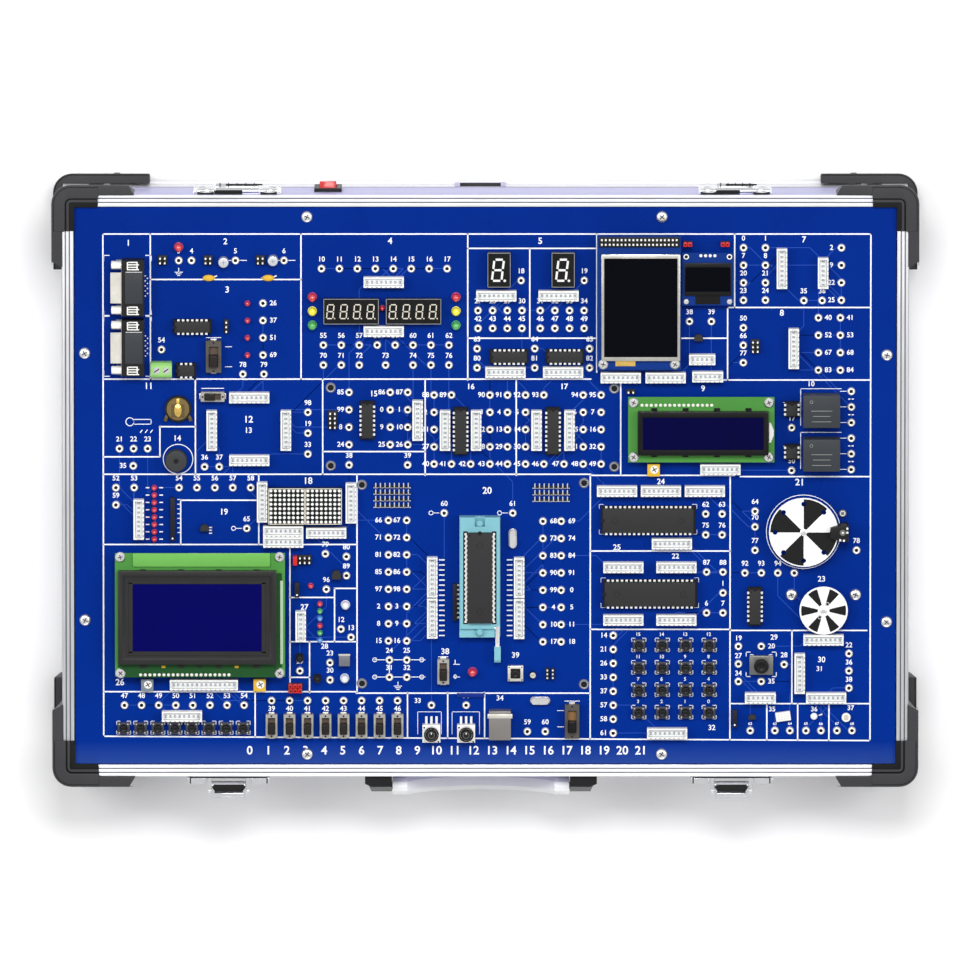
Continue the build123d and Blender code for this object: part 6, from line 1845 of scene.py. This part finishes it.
# ---- faint traces under the mask ----
def buildTraces(sockets, pins):
    # each socket's trace runs to one of its ten nearest pins, level first, then slanting
    source = random.Random(4)
    paths = Piece("covered_traces", slotName="board")
    count = 0
    for sx, sy in sockets:
        near = sorted(pins, key=lambda p: math.hypot(p[0] - sx, p[1] - sy))[:10]
        ex, ey = source.choice(near)
        dx, dy = ex - sx, ey - sy
        if math.hypot(dx, dy) > 45:
            continue
        slant = min(abs(dx), abs(dy))
        if abs(dx) > abs(dy):
            knee = (ex - math.copysign(slant, dx), sy)
        else:
            knee = (sx, ey - math.copysign(slant, dy))
        for a, b in (((sx, sy), knee), (knee, (ex, ey))):
            if math.hypot(b[0] - a[0], b[1] - a[1]) > 0.5:
                addLine(paths, a[0], a[1] - caseY, b[0], b[1] - caseY, 0.32, "trace", 0.012)
                count += 1
    paths.done(smooth=20)
    print("traces:", count)


# ---- room, lights and camera ----
studio = {"target": (0.1, caseY + 0.1, 76.0), "away": 14000.0, "tip": 7.0, "lens": 949.2, "air": 0.285,
          "banks": (("left bank", (-1.3, 0.6, 2.0), 0.9, 19), ("right bank", (1.4, 0.5, 2.0), 0.9, 17),
                    ("back bank", (0.05, 1.0, 2.45), 0.6, 33), ("front bank", (0.2, -1.9, 1.1), 1.2, 8.5))}


def addFloor():
    paint = Finish("studio floor")
    cloud = paint.noise(400, detail=2)
    paint.set(color=paint.blend(cloud, linear((248, 248, 248)), linear((252, 252, 252))), rough=0.85 + cloud * 0.05,
              specular=0.05, glow=(1, 1, 1, 1), glowPower=0.05)
    data = bpy.data.meshes.new("studio_floor")
    far, z = 6.0, -0.0004
    data.from_pydata([(-far, -far, z), (far, -far, z), (far, far, z), (-far, far, z)], [], [(0, 1, 2, 3)])
    data.materials.append(paint.material)
    link("studio_floor", data)


def addAir():
    # soft light on the object, plain white behind it and paler in what it mirrors
    world = bpy.data.worlds.new("studio air")
    bpy.context.scene.world = world
    world.use_nodes = True
    tree = world.node_tree
    tree.nodes.clear()

    def node(kind, settings=None, values=None):
        return addNode(tree, kind, settings, values).outputs

    seen = node("ShaderNodeLightPath")
    soft = node("ShaderNodeBackground", None, {"Color": (1, 1, 1, 1), "Strength": studio["air"]})
    plain = node("ShaderNodeBackground", None, {"Color": (1, 1, 1, 1), "Strength": 1.0})
    bright = node("ShaderNodeMath", {"operation": "MULTIPLY"}, {0: seen["Is Glossy Ray"], 1: 0.7})
    either = node("ShaderNodeMath", {"operation": "MAXIMUM"}, {0: seen["Is Camera Ray"], 1: bright[0]})
    choice = node("ShaderNodeMixShader", None, {0: either[0], 1: soft[0], 2: plain[0]})
    node("ShaderNodeOutputWorld", None, {0: choice[0]})


def buildRoom():
    addFloor()
    addAir()
    for name, spot, size, power in studio["banks"]:
        lamp = bpy.data.lights.new(name, "AREA")
        lamp.shape = "RECTANGLE"
        lamp.size, lamp.size_y = size * 1.4, size
        lamp.energy = power
        stand = link(name, lamp)
        stand.location = spot
        stand.rotation_euler = (Vector((0, 0, 0.07)) - Vector(spot)).to_track_quat("-Z", "Y").to_euler()

    lens = bpy.data.cameras.new("camera")
    lens.sensor_width = 36
    lens.lens = studio["lens"]
    lens.clip_start, lens.clip_end = 0.5, 60
    camera = link("camera", lens)
    tip = math.radians(studio["tip"])
    away = Vector((0, math.sin(tip), math.cos(tip)))
    up = Vector((0, math.cos(tip), -math.sin(tip)))
    right = up.cross(away)
    camera.matrix_world = Matrix((
        (right.x, up.x, away.x, 0), (right.y, up.y, away.y, 0), (right.z, up.z, away.z, 0), (0, 0, 0, 1)))
    camera.location = Vector(studio["target"]) * mm + away * studio["away"] * mm
    bpy.context.scene.camera = camera
    print("room ready")


buildCase()
buildHardware()
buildPower()
socketPlaces = buildSockets()
pinSpots = buildConnectors()
buildChips()
buildDisplays()
buildDisplayStamps()
buildControls()
buildBoardParts()
buildMotors()
buildHandle()
buildPrint()
buildNumerals(socketPlaces)
buildTraces(socketPlaces, pinSpots)
buildRoom()
